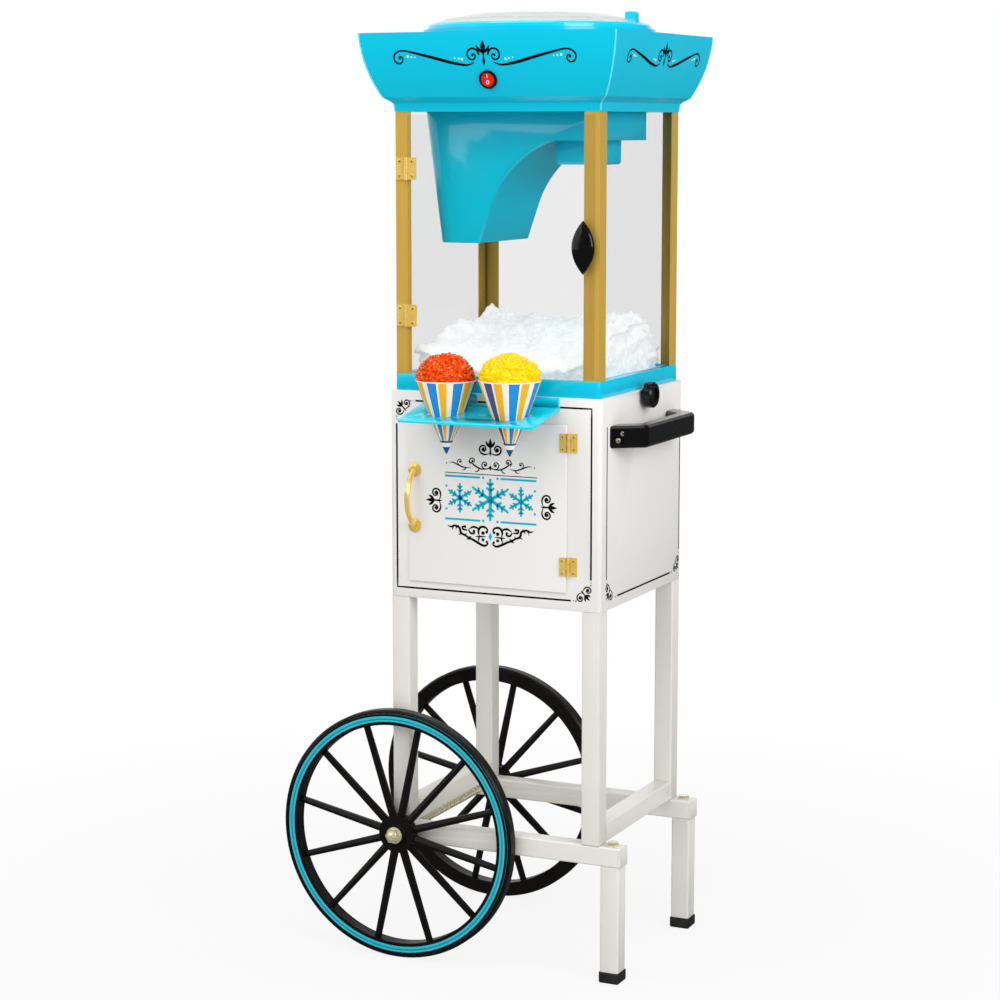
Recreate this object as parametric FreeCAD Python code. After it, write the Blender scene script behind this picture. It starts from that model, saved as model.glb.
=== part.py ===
import FreeCAD, Part
import math
import os

# Carnival snow-cone cart: an electric ice shaver in a clear case, on a cabinet that
# stands on a tube frame with two spoked wheels and two feet.
#
# While the model is made, z = 0 is the floor and x = y = 0 is the middle of the cabinet.
# The front faces -Y, and the push handle is on the +X side. Each part is then moved so
# that the origin is under the middle of the whole cart. All sizes are in millimetres.

V = FreeCAD.Vector
X, Y, Z = V(1, 0, 0), V(0, 1, 0), V(0, 0, 1)

# ---- fits ---------------------------------------------------------------------------
RUNNING_FIT = 0.05       # radial clearance of a pin or shaft in its bore
SIDE_GAP = 0.3           # clearance between pieces that move past each other
SEAT_GAP = 0.2           # clearance of a loose fit between fixed pieces
INSET_GAP = 2.0          # clearance round the cabinet door's inset panel
OVER = 1.0               # how far a cutter reaches past the piece that it cuts
NEAR = 0.1               # how close an edge lies to the face that it is picked by

# ---- wheels and axle ------------------------------------------------------------------
WHEEL_RADIUS = 165.1
RIM_WIDTH = 17.5
RIM_DEPTH = 19.6
RIM_CHAMFER = 2.5
SPOKE_COUNT = 12
SPOKE_TURN = 18.0
SPOKE_WIDTH_HUB = 10.0
SPOKE_WIDTH_RIM = 8.0
SPOKE_THICKNESS = 9.0
HUB_RADIUS = 25.0
HUB_BOSS_RADIUS = 13.0
HUB_LENGTH = 20.0
HUB_PROUD = 1.5          # how far the hub's disc stands out beyond the spokes
HUB_DISH = 2.0           # how far the hub's disc is dished round its boss
SPOKE_ROOT = 5.0         # how far a spoke runs into the hub
SPOKE_TIP = 3.0          # how far a spoke runs into the rim
RING_EDGE = 4.1          # from the tread to the coloured ring
RING_WIDTH = 11.0
RING_THICKNESS = 0.8
AXLE_RADIUS = 5.0
WASHER_RADIUS = 11.0
WASHER_THICKNESS = 1.2
NUT_ACROSS_FLATS = 17.0
NUT_HEX_HEIGHT = 6.0
NUT_DOME_RADIUS = 7.0
NUT_DOME_HEIGHT = 6.0
NUT_GRIP = 8.0           # how far the axle goes into each nut

# ---- tube frame -----------------------------------------------------------------------
TUBE = 25.0
TUBE_WALL = 1.5
TUBE_BEVEL = 1.5
POST_LENGTH = 300.0
POST_PLATE = 3.0
POST_INSET = 0.5         # posts stand this far inside the cabinet's faces
LEG_GAP = 1.8            # gap between a right post and the leg beside it
LEG_PLATE = 4.0
FOOT_HEIGHT = 14.4
FOOT_WIDTH = 27.0
FOOT_SPIGOT = 16.0
CAP_THICKNESS = 2.0
CAP_SPIGOT = 6.0
BOLT_RADIUS = 4.0
BOLT_HEAD_FLATS = 13.0
BOLT_HEAD_HEIGHT = 5.3
BOLT_TAIL = 6.0          # how far a leg bolt comes through the leg's top plate

# ---- cabinet --------------------------------------------------------------------------
CABINET_WIDTH = 292.4
CABINET_DEPTH = 276.4
CABINET_HEIGHT = 267.0
PANEL = 9.0
CABINET_CORNER = 5.0
DOOR_LEFT_MARGIN = 26.7  # from the cabinet's side to the door's edge
DOOR_RIGHT_MARGIN = 45.6
DOOR_ABOVE_FLOOR = 21.8  # from the cabinet's underside to the door's lower edge
DOOR_HEIGHT = 211.6
DOOR_LIP = 2.7
DOOR_LAP = 6.5
DOOR_EDGE = 1.0
CATCH_WIDTH = 22.0
CATCH_DEPTH = 10.0
CATCH_HEIGHT = 36.0
PULL_SPACING = 72.0
PULL_MARGIN = 9.7        # from the door's left edge to the bar
PULL_ABOVE_MIDDLE = 3.0
PULL_STAND_OFF = 26.0
PULL_BAR_RADIUS = 3.4
PULL_ROSETTE_RADIUS = 9.0
PULL_ROSETTE_HEIGHT = 4.0
PULL_ROSETTE_CROWN = 4.8
PULL_ROOT = 1.0          # where the bar's ends start, in front of the door

# ---- brass butt hinges ----------------------------------------------------------------
LEAF_THICKNESS = 1.2
KNUCKLE_RADIUS = 2.2
HINGE_PIN_RADIUS = 1.0
KNUCKLE_SINK = 0.4       # how far the knuckle sinks into the leaf beside it
KNUCKLE_RELIEF = 0.4
CABINET_HINGE_HEIGHT = 23.4
CABINET_HINGE_LEAF = 11.3
CABINET_HINGE_ABOVE = 22.15  # from the cabinet door's lower edge to the lower hinge
CABINET_HINGE_BELOW = 10.45  # from the cabinet door's upper edge to the upper hinge
CASE_HINGE_HEIGHT = 28.0
CASE_HINGE_LEAF = 15.0
CASE_HINGE_ABOVE = 57.5  # from the case door's lower edge to the lower hinge
CASE_HINGE_BELOW = 52.5  # from the case door's upper edge to the upper hinge

# ---- cone shelf -----------------------------------------------------------------------
SHELF_LEFT = -96.0
SHELF_RIGHT = 90.0
SHELF_REACH = 80.0
SHELF_DROP = 16.0
SHELF_THICKNESS = 3.2
SHELF_FLANGE = 12.0
SHELF_NOTCH_LEFT = -23.0
SHELF_NOTCH_RIGHT = -8.0
SHELF_NOTCH_LIFT = 0.2   # from the plate's back edge up to the notch
SHELF_CORNER = 5.0
CONE_HOLE_RADIUS = 24.5
CONE_HOLE_SPREAD = 88.0  # from one hole to the other
CONE_HOLE_MIDDLE = -4.4  # midway between the holes
CONE_HOLE_REACH = 37.0

# ---- push handle ----------------------------------------------------------------------
HANDLE_ROOT_OUTER = 111.0
HANDLE_ROOT_INNER = 79.0
HANDLE_CORNER_Y = 83.0
HANDLE_REACH = 39.8
HANDLE_BAR_DEPTH = 19.0
HANDLE_BAR_HALF = 62.0
HANDLE_HEIGHT = 28.0
HANDLE_BELOW_TOP = 35.6  # from the cabinet's top to the handle's upper face
HANDLE_EDGE = 3.0
HANDLE_BEND = 9.0
HANDLE_POCKET = 3.0
HANDLE_POCKET_START = 3.0  # from the arm's root to the pocket
HANDLE_POCKET_WIDTH = 15.0
HANDLE_POCKET_HEIGHT = 19.0

# ---- base tray and clamp knobs ----------------------------------------------------------
TRAY_INSET = 5.0
TRAY_HEIGHT = 21.0
TRAY_RIM = 12.5
TRAY_FLOOR = 3.5
TRAY_CORNER = 5.0
SKIRT_DEPTH = 18.0
SKIRT_WALL = 3.0
KNOB_BELOW_TOP = 6.5
KNOB_RADIUS = 16.5
KNOB_THICKNESS = 12.5
KNOB_EDGE = 2.0
KNOB_LOBES = 8
KNOB_LOBE_RADIUS = 3.2
KNOB_LOBE_OUT = 1.44     # from the knob's edge out to the middle of each scoop
KNOB_BOSS_RADIUS = 8.0
KNOB_STAND_OFF = 4.2
KNOB_HOLLOW_RADIUS = 9.5
KNOB_HOLLOW_DEPTH = 2.5
STUD_RADIUS = 3.0
STUD_TAIL = 4.0          # how far the stud comes through the tray's boss
STUD_BOSS_RADIUS = 6.0
STUD_BOSS_LENGTH = 6.0
STUD_SLOT_GAP = 0.6      # radial clearance of the stud in the cabinet wall

# ---- clear case -----------------------------------------------------------------------
CASE_HEIGHT = 329.5
ANGLE_INSET = 1.5        # from the tray's face to the corner angle's face
ANGLE_LEG = 21.0
ANGLE_WALL = 1.5
PANE = 3.0
CASE_DOOR_LEFT_MARGIN = 18.3  # from the corner angle's outer face to the door's edge
CASE_DOOR_RIGHT_MARGIN = 6.1
CASE_DOOR_FOOT = 2.6     # gap between the tray and the case door
CASE_DOOR_HEAD = 4.0     # gap between the case door and the top housing
CASE_DOOR_CORNER = 3.0
LENS_MARGIN = 12.6       # from the case door's right edge to the lens's middle
LENS_HALF_WIDTH = 15.0
LENS_HEIGHT = 66.0
LENS_CENTRE = 162.0      # from the case door's lower edge
LENS_DEPTH = 12.0
LENS_FLATS = 6
LENS_BASE_SHARE = 0.9    # the lens at its foot and at its crown, as shares of its middle
LENS_CROWN_SHARE = 0.6
LENS_WIDEST = 0.45       # the share of its depth at which the lens is widest

# ---- top housing ----------------------------------------------------------------------
HOUSING_WALL = 3.0
HOUSING_SKIRT_INSET = 5.8
HOUSING_SKIRT_TAPER = 1.4
HOUSING_SKIRT_HEIGHT = 11.0
HOUSING_SOFFIT_HEIGHT = 7.0
HOUSING_FLARE_HEIGHT = 79.0
HOUSING_FOOT_OVERHANG = 6.0
HOUSING_RIM_OVERHANG = 28.0
HOUSING_FLARE_BULGE = 4.3
HOUSING_CORNER = 2.5
COLLAR_RADIUS = 148.0
COLLAR_HEIGHT = 6.0
HOPPER_MOUTH_RADIUS = 110.0
HOPPER_FLANGE = 6.0
HOPPER_FLANGE_THICKNESS = 3.0
HOPPER_WALL = 2.5
HOPPER_CONE_FOOT = 26.0  # from the throat's lower end up to the foot of the cone
HOPPER_VANES = 3
HOPPER_VANE_DEPTH = 7.0
HOPPER_VANE_THICKNESS = 4.0
THROAT_RADIUS = 38.0
LID_INSET = 5.0          # from the collar's edge in to the lid's
LID_MOUTH_GAP = 2.0      # from the hopper's mouth out to the lid ring's bore
LID_RIM = 5.0            # width of the lid ring's rim round the dome
LID_RING_HEIGHT = 6.6
LID_RING_CHAMFER = 2.5
DOME_RISE = 15.0
DOME_SHOULDER = 17.0
DOME_SHOULDER_SHARE = 0.42  # the dome's height at its shoulder and at its brow, as
DOME_BROW_SHARE = 0.84      # shares of its rise
DOME_WALL = 2.0
DOME_FOOT = 3.5
LID_TAB_INSET = 16.5     # from the lid's edge in to the middle of its tab
LID_TAB_WIDTH = 15.0
LID_TAB_LENGTH = 10.0
LID_TAB_HEIGHT = 14.5
LID_TAB_CORNER = 3.0
LID_HINGE_BEHIND = 5.2   # from the collar's edge to the lid's hinge axis
LID_HINGE_PIN = 1.6
LID_BARREL_RADIUS = 3.0
LID_BARREL_LENGTH = 24.0
LID_TONGUE = 4.0
LID_EAR_THICKNESS = 4.0
LID_EAR_DEPTH = 9.0
LID_HINGE_FOOT = 2.0

# ---- rocker switch ----------------------------------------------------------------------
SWITCH_HEIGHT = 21.0     # above the foot of the flare
SWITCH_FLANGE_RADIUS = 11.75
SWITCH_FLANGE = 2.0
SWITCH_BARREL_RADIUS = 10.4
SWITCH_BORE_RADIUS = 9.4
SWITCH_DEPTH = 14.0
ROCKER_RADIUS = 8.5
ROCKER_DEPTH = 7.0
ROCKER_TILT = 7.0
ROCKER_PIN_RADIUS = 1.0
ROCKER_PIN_GRIP = 0.5    # how far the pin's ends sink into the barrel
ROCKER_PIVOT_DEPTH = 1.5
ROCKER_RIDGE = 0.6       # how far the ridge stands above the rocker's flat height
ROCKER_BLANK = 2.5       # spare height of the blank that the two faces are cut from
SWITCH_BACK = 2.0

# ---- shaving mechanism ------------------------------------------------------------------
GEAR_MODULE = 3.0
GEAR_ADDENDUM = 0.95     # tooth heights above and below the pitch circle, in modules
GEAR_DEDENDUM = 1.25
TOOTH_TIP = 0.13         # half a tooth's width at its tip and at its root, in pitches
TOOTH_ROOT = 0.33
DISC_TEETH = 36
PINION_TEETH = 10
GEAR_THICKNESS = 6.0
GEAR_LIFT = 2.4          # gap between the housing floor and the gears
FLOOR_THICKNESS = 3.0
SPINDLE_RADIUS = 5.0
SPINDLE_HEAD_RADIUS = 8.0
SPINDLE_HEAD_HEIGHT = 3.0
DISC_HUB_RADIUS = 10.0
HUB_RING_RADIUS = 11.0
SPIDER_ARM = 5.0
BLADE_COUNT = 3
SLOT_WIDTH = 7.0
SLOT_INNER_RADIUS = 13.0
SLOT_END = 2.0           # from the slots' outer ends to the throat's wall
BLADE_WIDTH = 6.0
BLADE_SEAT = 3.0         # how far a blade rests on the disc behind its slot
BLADE_GRIND = 2.0
BLADE_THICKNESS = 1.2
MOTOR_RADIUS = 26.0
MOTOR_LENGTH = 52.0
MOTOR_EDGE = 2.5
MOTOR_FLANGE_THICKNESS = 4.0
MOTOR_EAR_REACH = 38.0
MOTOR_EAR_WIDTH = 20.0
MOTOR_NOSE_RADIUS = 8.0
MOTOR_NOSE_HEIGHT = 2.5
MOTOR_BAY_GAP = 1.5      # from the motor to the wall of its bay
MOTOR_HOLE_GAP = 1.0     # round the motor where it passes the chute's underside
SHAFT_RADIUS = 4.0
SHAFT_GRIP = 20.0        # how far the pinion's shaft goes into the motor
SHAFT_HOLE_RADIUS = 9.0

# ---- ice chute and motor cover ------------------------------------------------------------
CHUTE_HALF_DEPTH = 78.0
CHUTE_WALL = 3.0
CHUTE_LEFT_MARGIN = 8.4  # from the corner angle's outer face to the chute's top
CHUTE_TOP_RIGHT = 118.0
CHUTE_BOX_DROP = 35.6
CHUTE_DROP = 165.0
CHUTE_SLANT = 22.6       # how far the nose leans in, from its top to the mouth
CHUTE_MOUTH_RIGHT = -49.4
ARCH_FOOT_X, ARCH_FOOT_DROP = -34.5, 122.0
ARCH_MIDDLE_X, ARCH_MIDDLE_DROP = -2.0, 69.1
ARCH_TOP_X = 54.0
ARCH_SLOPE = V(-0.8, 0, 0.6)  # the way into the duct from the middle of the arch
ARCH_STEP = 2.0          # how far the duct's arch ends below the flat roof over the motor
CHUTE_NOSE_RADIUS = 22.0
CHUTE_EDGE_RADIUS = 5.0
CHUTE_LIP_RADIUS = 5.0    # along the arch and down to the mouth
COVER_WIDTH = 66.0
COVER_DROP = 66.0        # from the housing's underside to the cover's underside
COVER_CORNER = 6.0
COVER_WALL = 2.5

# ---- heights and places worked out from the sizes above -----------------------------------
half_w = CABINET_WIDTH / 2
half_d = CABINET_DEPTH / 2
rail_bottom = WHEEL_RADIUS - TUBE / 2
rail_top = WHEEL_RADIUS + TUBE / 2
cabinet_bottom = rail_top + POST_LENGTH
cabinet_top = cabinet_bottom + CABINET_HEIGHT
tray_top = cabinet_top + TRAY_HEIGHT
case_top = tray_top + CASE_HEIGHT
soffit_bottom = case_top + HOUSING_SKIRT_HEIGHT
flare_bottom = soffit_bottom + HOUSING_SOFFIT_HEIGHT
housing_top = flare_bottom + HOUSING_FLARE_HEIGHT
collar_top = housing_top + COLLAR_HEIGHT

post_x = half_w - POST_INSET - TUBE / 2
post_y = half_d - POST_INSET - TUBE / 2
frame_face = post_y + TUBE / 2
leg_x = post_x + TUBE + LEG_GAP
rail_left = -post_x - TUBE / 2
rail_right = leg_x + TUBE / 2

hub_inner = frame_face + WASHER_THICKNESS + SIDE_GAP
hub_outer = hub_inner + HUB_LENGTH
rim_inner = hub_inner + SIDE_GAP
rim_outer = rim_inner + RIM_WIDTH
nut_flange = hub_outer + SIDE_GAP
nut_seat = nut_flange + WASHER_THICKNESS
axle_half = nut_flange + NUT_GRIP
nut_tip = nut_seat + NUT_HEX_HEIGHT + NUT_DOME_HEIGHT
ring_outer = WHEEL_RADIUS - RING_EDGE

front_face = -half_d
door_back = front_face - SIDE_GAP
door_front = door_back - DOOR_LIP
door_bottom = cabinet_bottom + DOOR_ABOVE_FLOOR
door_top = door_bottom + DOOR_HEIGHT
door_left = -half_w + DOOR_LEFT_MARGIN
door_right = half_w - DOOR_RIGHT_MARGIN
pull_x = door_left + PULL_MARGIN

tray_w = half_w - TRAY_INSET
tray_d = half_d - TRAY_INSET
angle_w = tray_w - ANGLE_INSET
angle_d = tray_d - ANGLE_INSET
case_door_back = -angle_d - SIDE_GAP
case_door_front = case_door_back - PANE
case_door_bottom = tray_top + CASE_DOOR_FOOT
case_door_top = case_top - CASE_DOOR_HEAD
case_door_left = -angle_w + CASE_DOOR_LEFT_MARGIN
case_door_right = angle_w - CASE_DOOR_RIGHT_MARGIN
lens_x = case_door_right - LENS_MARGIN
chute_top_left = -angle_w + CHUTE_LEFT_MARGIN
chute_mouth_left = chute_top_left + CHUTE_SLANT

knob_z = cabinet_top - KNOB_BELOW_TOP
knob_face = half_w + KNOB_STAND_OFF
handle_top = cabinet_top - HANDLE_BELOW_TOP
handle_bottom = handle_top - HANDLE_HEIGHT

floor_top = case_top + FLOOR_THICKNESS
gear_bottom = floor_top + GEAR_LIFT
gear_top = gear_bottom + GEAR_THICKNESS
disc_radius = GEAR_MODULE * DISC_TEETH / 2
pinion_radius = GEAR_MODULE * PINION_TEETH / 2
motor_x = disc_radius + pinion_radius
throat_bottom = gear_top + BLADE_THICKNESS + 3 * SIDE_GAP
slot_outer = THROAT_RADIUS - SLOT_END
motor_bay_left = motor_x - MOTOR_RADIUS - MOTOR_BAY_GAP

lid_outer = COLLAR_RADIUS - LID_INSET
lid_inner = HOPPER_MOUTH_RADIUS + LID_MOUTH_GAP
dome_base = lid_outer - LID_RIM
lid_tab_x = lid_outer - LID_TAB_INSET
lid_axis_y = COLLAR_RADIUS + LID_HINGE_BEHIND
lid_axis_z = collar_top + LID_RING_HEIGHT / 2 + SIDE_GAP
lid_bottom = collar_top + SIDE_GAP
lid_ring_top = lid_bottom + LID_RING_HEIGHT

shelf_back_z = cabinet_top - SHELF_FLANGE
shelf_slope = math.atan2(SHELF_DROP, SHELF_REACH)

# The origin is on the floor under the middle of the whole cart.
cart_left = -post_x - WHEEL_RADIUS
cart_right = half_w + HANDLE_REACH
cart_front = front_face - SHELF_REACH
cart_back = nut_tip
ORIGIN = V((cart_left + cart_right) / 2, (cart_front + cart_back) / 2, 0)


# ---- small tools --------------------------------------------------------------------------
def box(x0, x1, y0, y1, z0, z1):
    """A box between two corners."""
    return Part.makeBox(x1 - x0, y1 - y0, z1 - z0, V(x0, y0, z0))


def cylinder(radius, start, axis, length):
    """A cylinder from a point along an axis."""
    return Part.makeCylinder(radius, length, start, axis)


def tube(outer, inner, start, axis, length):
    """A round tube or washer."""
    return cylinder(outer, start, axis, length).cut(cylinder(inner, start, axis, length))


def join(shapes):
    """One solid from pieces that touch."""
    shapes = list(shapes)
    return shapes[0].multiFuse(shapes[1:]).removeSplitter()


def edge_direction(edge):
    """The unit direction from one end of an edge to the other."""
    first, last = edge.valueAt(edge.FirstParameter), edge.valueAt(edge.LastParameter)
    way = last - first
    return way.normalize() if way.Length > 1e-6 else V(0, 0, 0)


def edges_along(shape, axis, test=lambda middle: True):
    """Straight edges along an axis whose middle passes a test."""
    return [edge for edge in shape.Edges
            if abs(edge_direction(edge).dot(axis)) > 0.9999 and test(edge.CenterOfMass)]


def rounded_box(x0, x1, y0, y1, z0, z1, radius, axis=Z):
    """A box with its four edges along one axis rounded."""
    block = box(x0, x1, y0, y1, z0, z1)
    return block.makeFillet(radius, edges_along(block, axis))


def bevelled_box(x0, x1, y0, y1, z0, z1, bevel, axis=Z):
    """A box with its four edges along one axis bevelled."""
    block = box(x0, x1, y0, y1, z0, z1)
    return block.makeChamfer(bevel, edges_along(block, axis))


def edges_at(shape, axis, level):
    """The edges that lie in the plane across an axis at one level."""
    return [edge for edge in shape.Edges
            if all(abs(vertex.Point.dot(axis) - level) < 0.01 for vertex in edge.Vertexes)
            and abs(edge.CenterOfMass.dot(axis) - level) < 0.01]


def flat_prism(points, start, way):
    """A prism from a closed outline of points, moved to a start and swept along a way."""
    outline = Part.makePolygon([start + p for p in points + points[:1]])
    return Part.Face(outline).extrude(way)


def frustum(first, second):
    """A solid between two flat outlines of the same shape, with flat sides."""
    count = len(first)
    faces = [first, second] + [[first[k], first[(k + 1) % count], second[(k + 1) % count], second[k]]
                               for k in range(count)]
    shell = Part.makeShell([Part.Face(Part.makePolygon(f + f[:1])) for f in faces])
    solid = Part.makeSolid(shell)
    return solid if solid.Volume > 0 else solid.reversed()


def ring_of(shape, count, centre, axis):
    """Copies of a shape turned evenly about an axis."""
    copies = []
    for k in range(count):
        copy = shape.copy()
        copy.rotate(centre, axis, 360.0 * k / count)
        copies.append(copy)
    return copies


def mirrored(shape, normal):
    """The shape reflected in the plane through the cabinet's middle."""
    return shape.mirror(V(0, 0, 0), normal)


def hexagon(across_flats, start, axis, height):
    """A hexagonal prism along Y or Z."""
    radius = across_flats / math.sqrt(3)
    side = X
    other = axis.cross(side)
    corners = [side * (radius * math.cos(math.radians(60 * k)))
               + other * (radius * math.sin(math.radians(60 * k))) for k in range(6)]
    return flat_prism(corners, start, axis * height)


def save(name, pieces):
    """Write one node, moved so that the cart's origin is the file's origin."""
    pieces = pieces if isinstance(pieces, list) else [pieces]
    solids = [solid.copy() for piece in pieces for solid in piece.Solids]
    for solid in solids:
        solid.translate(ORIGIN * -1)
    shape = solids[0] if len(solids) == 1 else Part.makeCompound(solids)
    shape.exportStep(os.path.join("parts", name + ".step"))


# ---- tube frame -----------------------------------------------------------------------
def square_tube(x0, x1, y0, y1, z0, z1, axis):
    """A square tube that fills the box and is open at both ends of its axis."""
    outer = bevelled_box(x0, x1, y0, y1, z0, z1, TUBE_BEVEL, axis)
    wall = V(1, 1, 1) * TUBE_WALL
    reach = V(abs(axis.x), abs(axis.y), abs(axis.z)) * (TUBE_WALL + OVER)
    low, high = V(x0, y0, z0) + wall - reach, V(x1, y1, z1) - wall + reach
    return outer.cut(box(low.x, high.x, low.y, high.y, low.z, high.z))


def post(side_x, side_y):
    """An upright under one corner of the cabinet, with a plate welded in its top."""
    cx, cy, half = side_x * post_x, side_y * post_y, TUBE / 2
    upright = square_tube(cx - half, cx + half, cy - half, cy + half,
                          rail_top, cabinet_bottom, Z)
    inner = half - TUBE_WALL
    plate = box(cx - inner, cx + inner, cy - inner, cy + inner,
                cabinet_bottom - POST_PLATE, cabinet_bottom)
    return join([upright, plate])


def rail(side_y):
    """A lower rail, drilled for the axle at the left and for the leg bolt at the right."""
    cy, half = side_y * post_y, TUBE / 2
    bar = square_tube(rail_left, rail_right, cy - half, cy + half, rail_bottom, rail_top, X)
    axle_hole = cylinder(AXLE_RADIUS + RUNNING_FIT, V(-post_x, cy - TUBE, WHEEL_RADIUS), Y, 2 * TUBE)
    bolt_hole = cylinder(BOLT_RADIUS + SEAT_GAP, V(leg_x, cy, rail_bottom - OVER), Z, TUBE + 2 * OVER)
    return bar.cut(axle_hole).cut(bolt_hole)


def cross_rail(side_x):
    """A rail from front to back that stands on the lower rails, between the posts."""
    cx, half = side_x * post_x, TUBE / 2
    return square_tube(cx - half, cx + half, -post_y + half, post_y - half,
                       rail_top, rail_top + TUBE, Y)


def leg(side_y):
    """A short leg under the right end of a rail, with a tapped plate in its top."""
    cy, half = side_y * post_y, TUBE / 2
    upright = square_tube(leg_x - half, leg_x + half, cy - half, cy + half,
                          FOOT_HEIGHT, rail_bottom, Z)
    inner = half - TUBE_WALL
    plate = box(leg_x - inner, leg_x + inner, cy - inner, cy + inner,
                rail_bottom - LEG_PLATE, rail_bottom)
    hole = cylinder(BOLT_RADIUS + RUNNING_FIT, V(leg_x, cy, rail_bottom - LEG_PLATE - OVER),
                    Z, LEG_PLATE + 2 * OVER)
    return join([upright, plate]).cut(hole)


def foot(side_y):
    """A moulded foot with a spigot that plugs the leg."""
    cy, half = side_y * post_y, FOOT_WIDTH / 2
    pad = box(leg_x - half, leg_x + half, cy - half, cy + half, 0, FOOT_HEIGHT)
    pad = pad.makeChamfer(TUBE_BEVEL, edges_at(pad, Z, 0))
    inner = TUBE / 2 - TUBE_WALL - SEAT_GAP
    spigot = box(leg_x - inner, leg_x + inner, cy - inner, cy + inner,
                 FOOT_HEIGHT, FOOT_HEIGHT + FOOT_SPIGOT)
    return join([pad, spigot])


def rail_cap(end_x, way, side_y):
    """A plastic cap that plugs one end of a rail; way is +1 at the right end."""
    cy, half, inner = side_y * post_y, TUBE / 2, TUBE / 2 - TUBE_WALL - SEAT_GAP
    outer_x = end_x + way * CAP_THICKNESS
    plate = bevelled_box(min(end_x, outer_x), max(end_x, outer_x), cy - half, cy + half,
                         rail_bottom, rail_top, TUBE_BEVEL, X)
    inner_x = end_x - way * CAP_SPIGOT
    spigot = box(min(end_x, inner_x), max(end_x, inner_x), cy - inner, cy + inner,
                 WHEEL_RADIUS - inner, WHEEL_RADIUS + inner)
    return join([plate, spigot])


def leg_bolt(side_y):
    """A hexagon bolt, down through a rail's end into the leg's plate."""
    cy = side_y * post_y
    head = hexagon(BOLT_HEAD_FLATS, V(leg_x, cy, rail_top), Z, BOLT_HEAD_HEIGHT)
    length = TUBE + LEG_PLATE + BOLT_TAIL
    shank = cylinder(BOLT_RADIUS, V(leg_x, cy, rail_top - length), Z, length)
    return join([head, shank])


# ---- axle and wheels --------------------------------------------------------------------
def axle_end(side_y, shape_at):
    """One piece of the axle's hardware, made for the rear and mirrored to the front."""
    piece = shape_at()
    return piece if side_y > 0 else mirrored(piece, Y)


def axle_point(y):
    """A point on the axle's centre line."""
    return V(-post_x, y, WHEEL_RADIUS)


def inner_washer():
    return tube(WASHER_RADIUS, AXLE_RADIUS + RUNNING_FIT, axle_point(frame_face), Y, WASHER_THICKNESS)


def acorn_nut():
    """A domed cap nut with a flange, that closes the end of the axle."""
    base = nut_seat + NUT_HEX_HEIGHT
    hexed = hexagon(NUT_ACROSS_FLATS, axle_point(nut_seat), Y, NUT_HEX_HEIGHT)
    dome = [(NUT_DOME_RADIUS * math.cos(a), base + NUT_DOME_HEIGHT * math.sin(a))
            for a in (0, math.pi / 6, math.pi / 3)]
    round_part = revolve_about_axle(
        [(AXLE_RADIUS, nut_flange), (WASHER_RADIUS, nut_flange), (WASHER_RADIUS, nut_seat),
         (NUT_DOME_RADIUS, nut_seat)] + dome
        + [(0, nut_tip), (0, nut_flange + NUT_GRIP), (AXLE_RADIUS, nut_flange + NUT_GRIP)])
    bore = cylinder(AXLE_RADIUS, axle_point(nut_flange), Y, NUT_GRIP)
    return join([hexed.cut(bore), round_part])


def revolve_about_axle(points):
    """A wheel part from an outline of (radius, y) points, revolved about the axle."""
    outline = [V(-post_x + r, y, WHEEL_RADIUS) for r, y in points]
    face = Part.Face(Part.makePolygon(outline + outline[:1]))
    return face.revolve(axle_point(0), Y, 360)


def wheel_rim():
    """The rim, bevelled at both edges of its tread."""
    inner_r, c = WHEEL_RADIUS - RIM_DEPTH, RIM_CHAMFER
    return revolve_about_axle([
        (inner_r, rim_inner), (WHEEL_RADIUS - c, rim_inner), (WHEEL_RADIUS, rim_inner + c),
        (WHEEL_RADIUS, rim_outer - c), (WHEEL_RADIUS - c, rim_outer), (inner_r, rim_outer)])


def wheel_hub():
    """The hub: a disc with a raised boss, bored to run on the axle."""
    bore = AXLE_RADIUS + RUNNING_FIT
    disc_out = (rim_inner + rim_outer) / 2 + SPOKE_THICKNESS / 2 + HUB_PROUD
    return revolve_about_axle([
        (bore, hub_inner), (HUB_BOSS_RADIUS, hub_inner), (HUB_RADIUS, rim_inner + HUB_DISH),
        (HUB_RADIUS, disc_out), (HUB_BOSS_RADIUS + HUB_DISH, disc_out),
        (HUB_BOSS_RADIUS, hub_outer), (bore, hub_outer)])


def spoke():
    """A tapered six-sided spoke from the hub to the rim, with a ridge on each face."""
    middle = (rim_inner + rim_outer) / 2
    sections = []
    for radius, width in ((HUB_RADIUS - SPOKE_ROOT, SPOKE_WIDTH_HUB),
                          (WHEEL_RADIUS - RIM_DEPTH + SPOKE_TIP, SPOKE_WIDTH_RIM)):
        ridge = SPOKE_THICKNESS / 2 * width / SPOKE_WIDTH_HUB
        corners = [(-width / 2, -ridge / 2), (0, -ridge), (width / 2, -ridge / 2),
                   (width / 2, ridge / 2), (0, ridge), (-width / 2, ridge / 2)]
        sections.append([V(-post_x + radius, middle + y, WHEEL_RADIUS + z) for z, y in corners])
    return frustum(*sections)


def wheel():
    """The rear wheel; its outer face looks towards +Y."""
    first = spoke()
    first.rotate(axle_point(0), Y, -SPOKE_TURN)
    spokes = ring_of(first, SPOKE_COUNT, axle_point(0), Y)
    return join([wheel_rim(), wheel_hub()] + spokes)


def wheel_ring():
    """The coloured ring on the rim's outer face."""
    return tube(ring_outer, ring_outer - RING_WIDTH, axle_point(rim_outer), Y, RING_THICKNESS)


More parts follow.
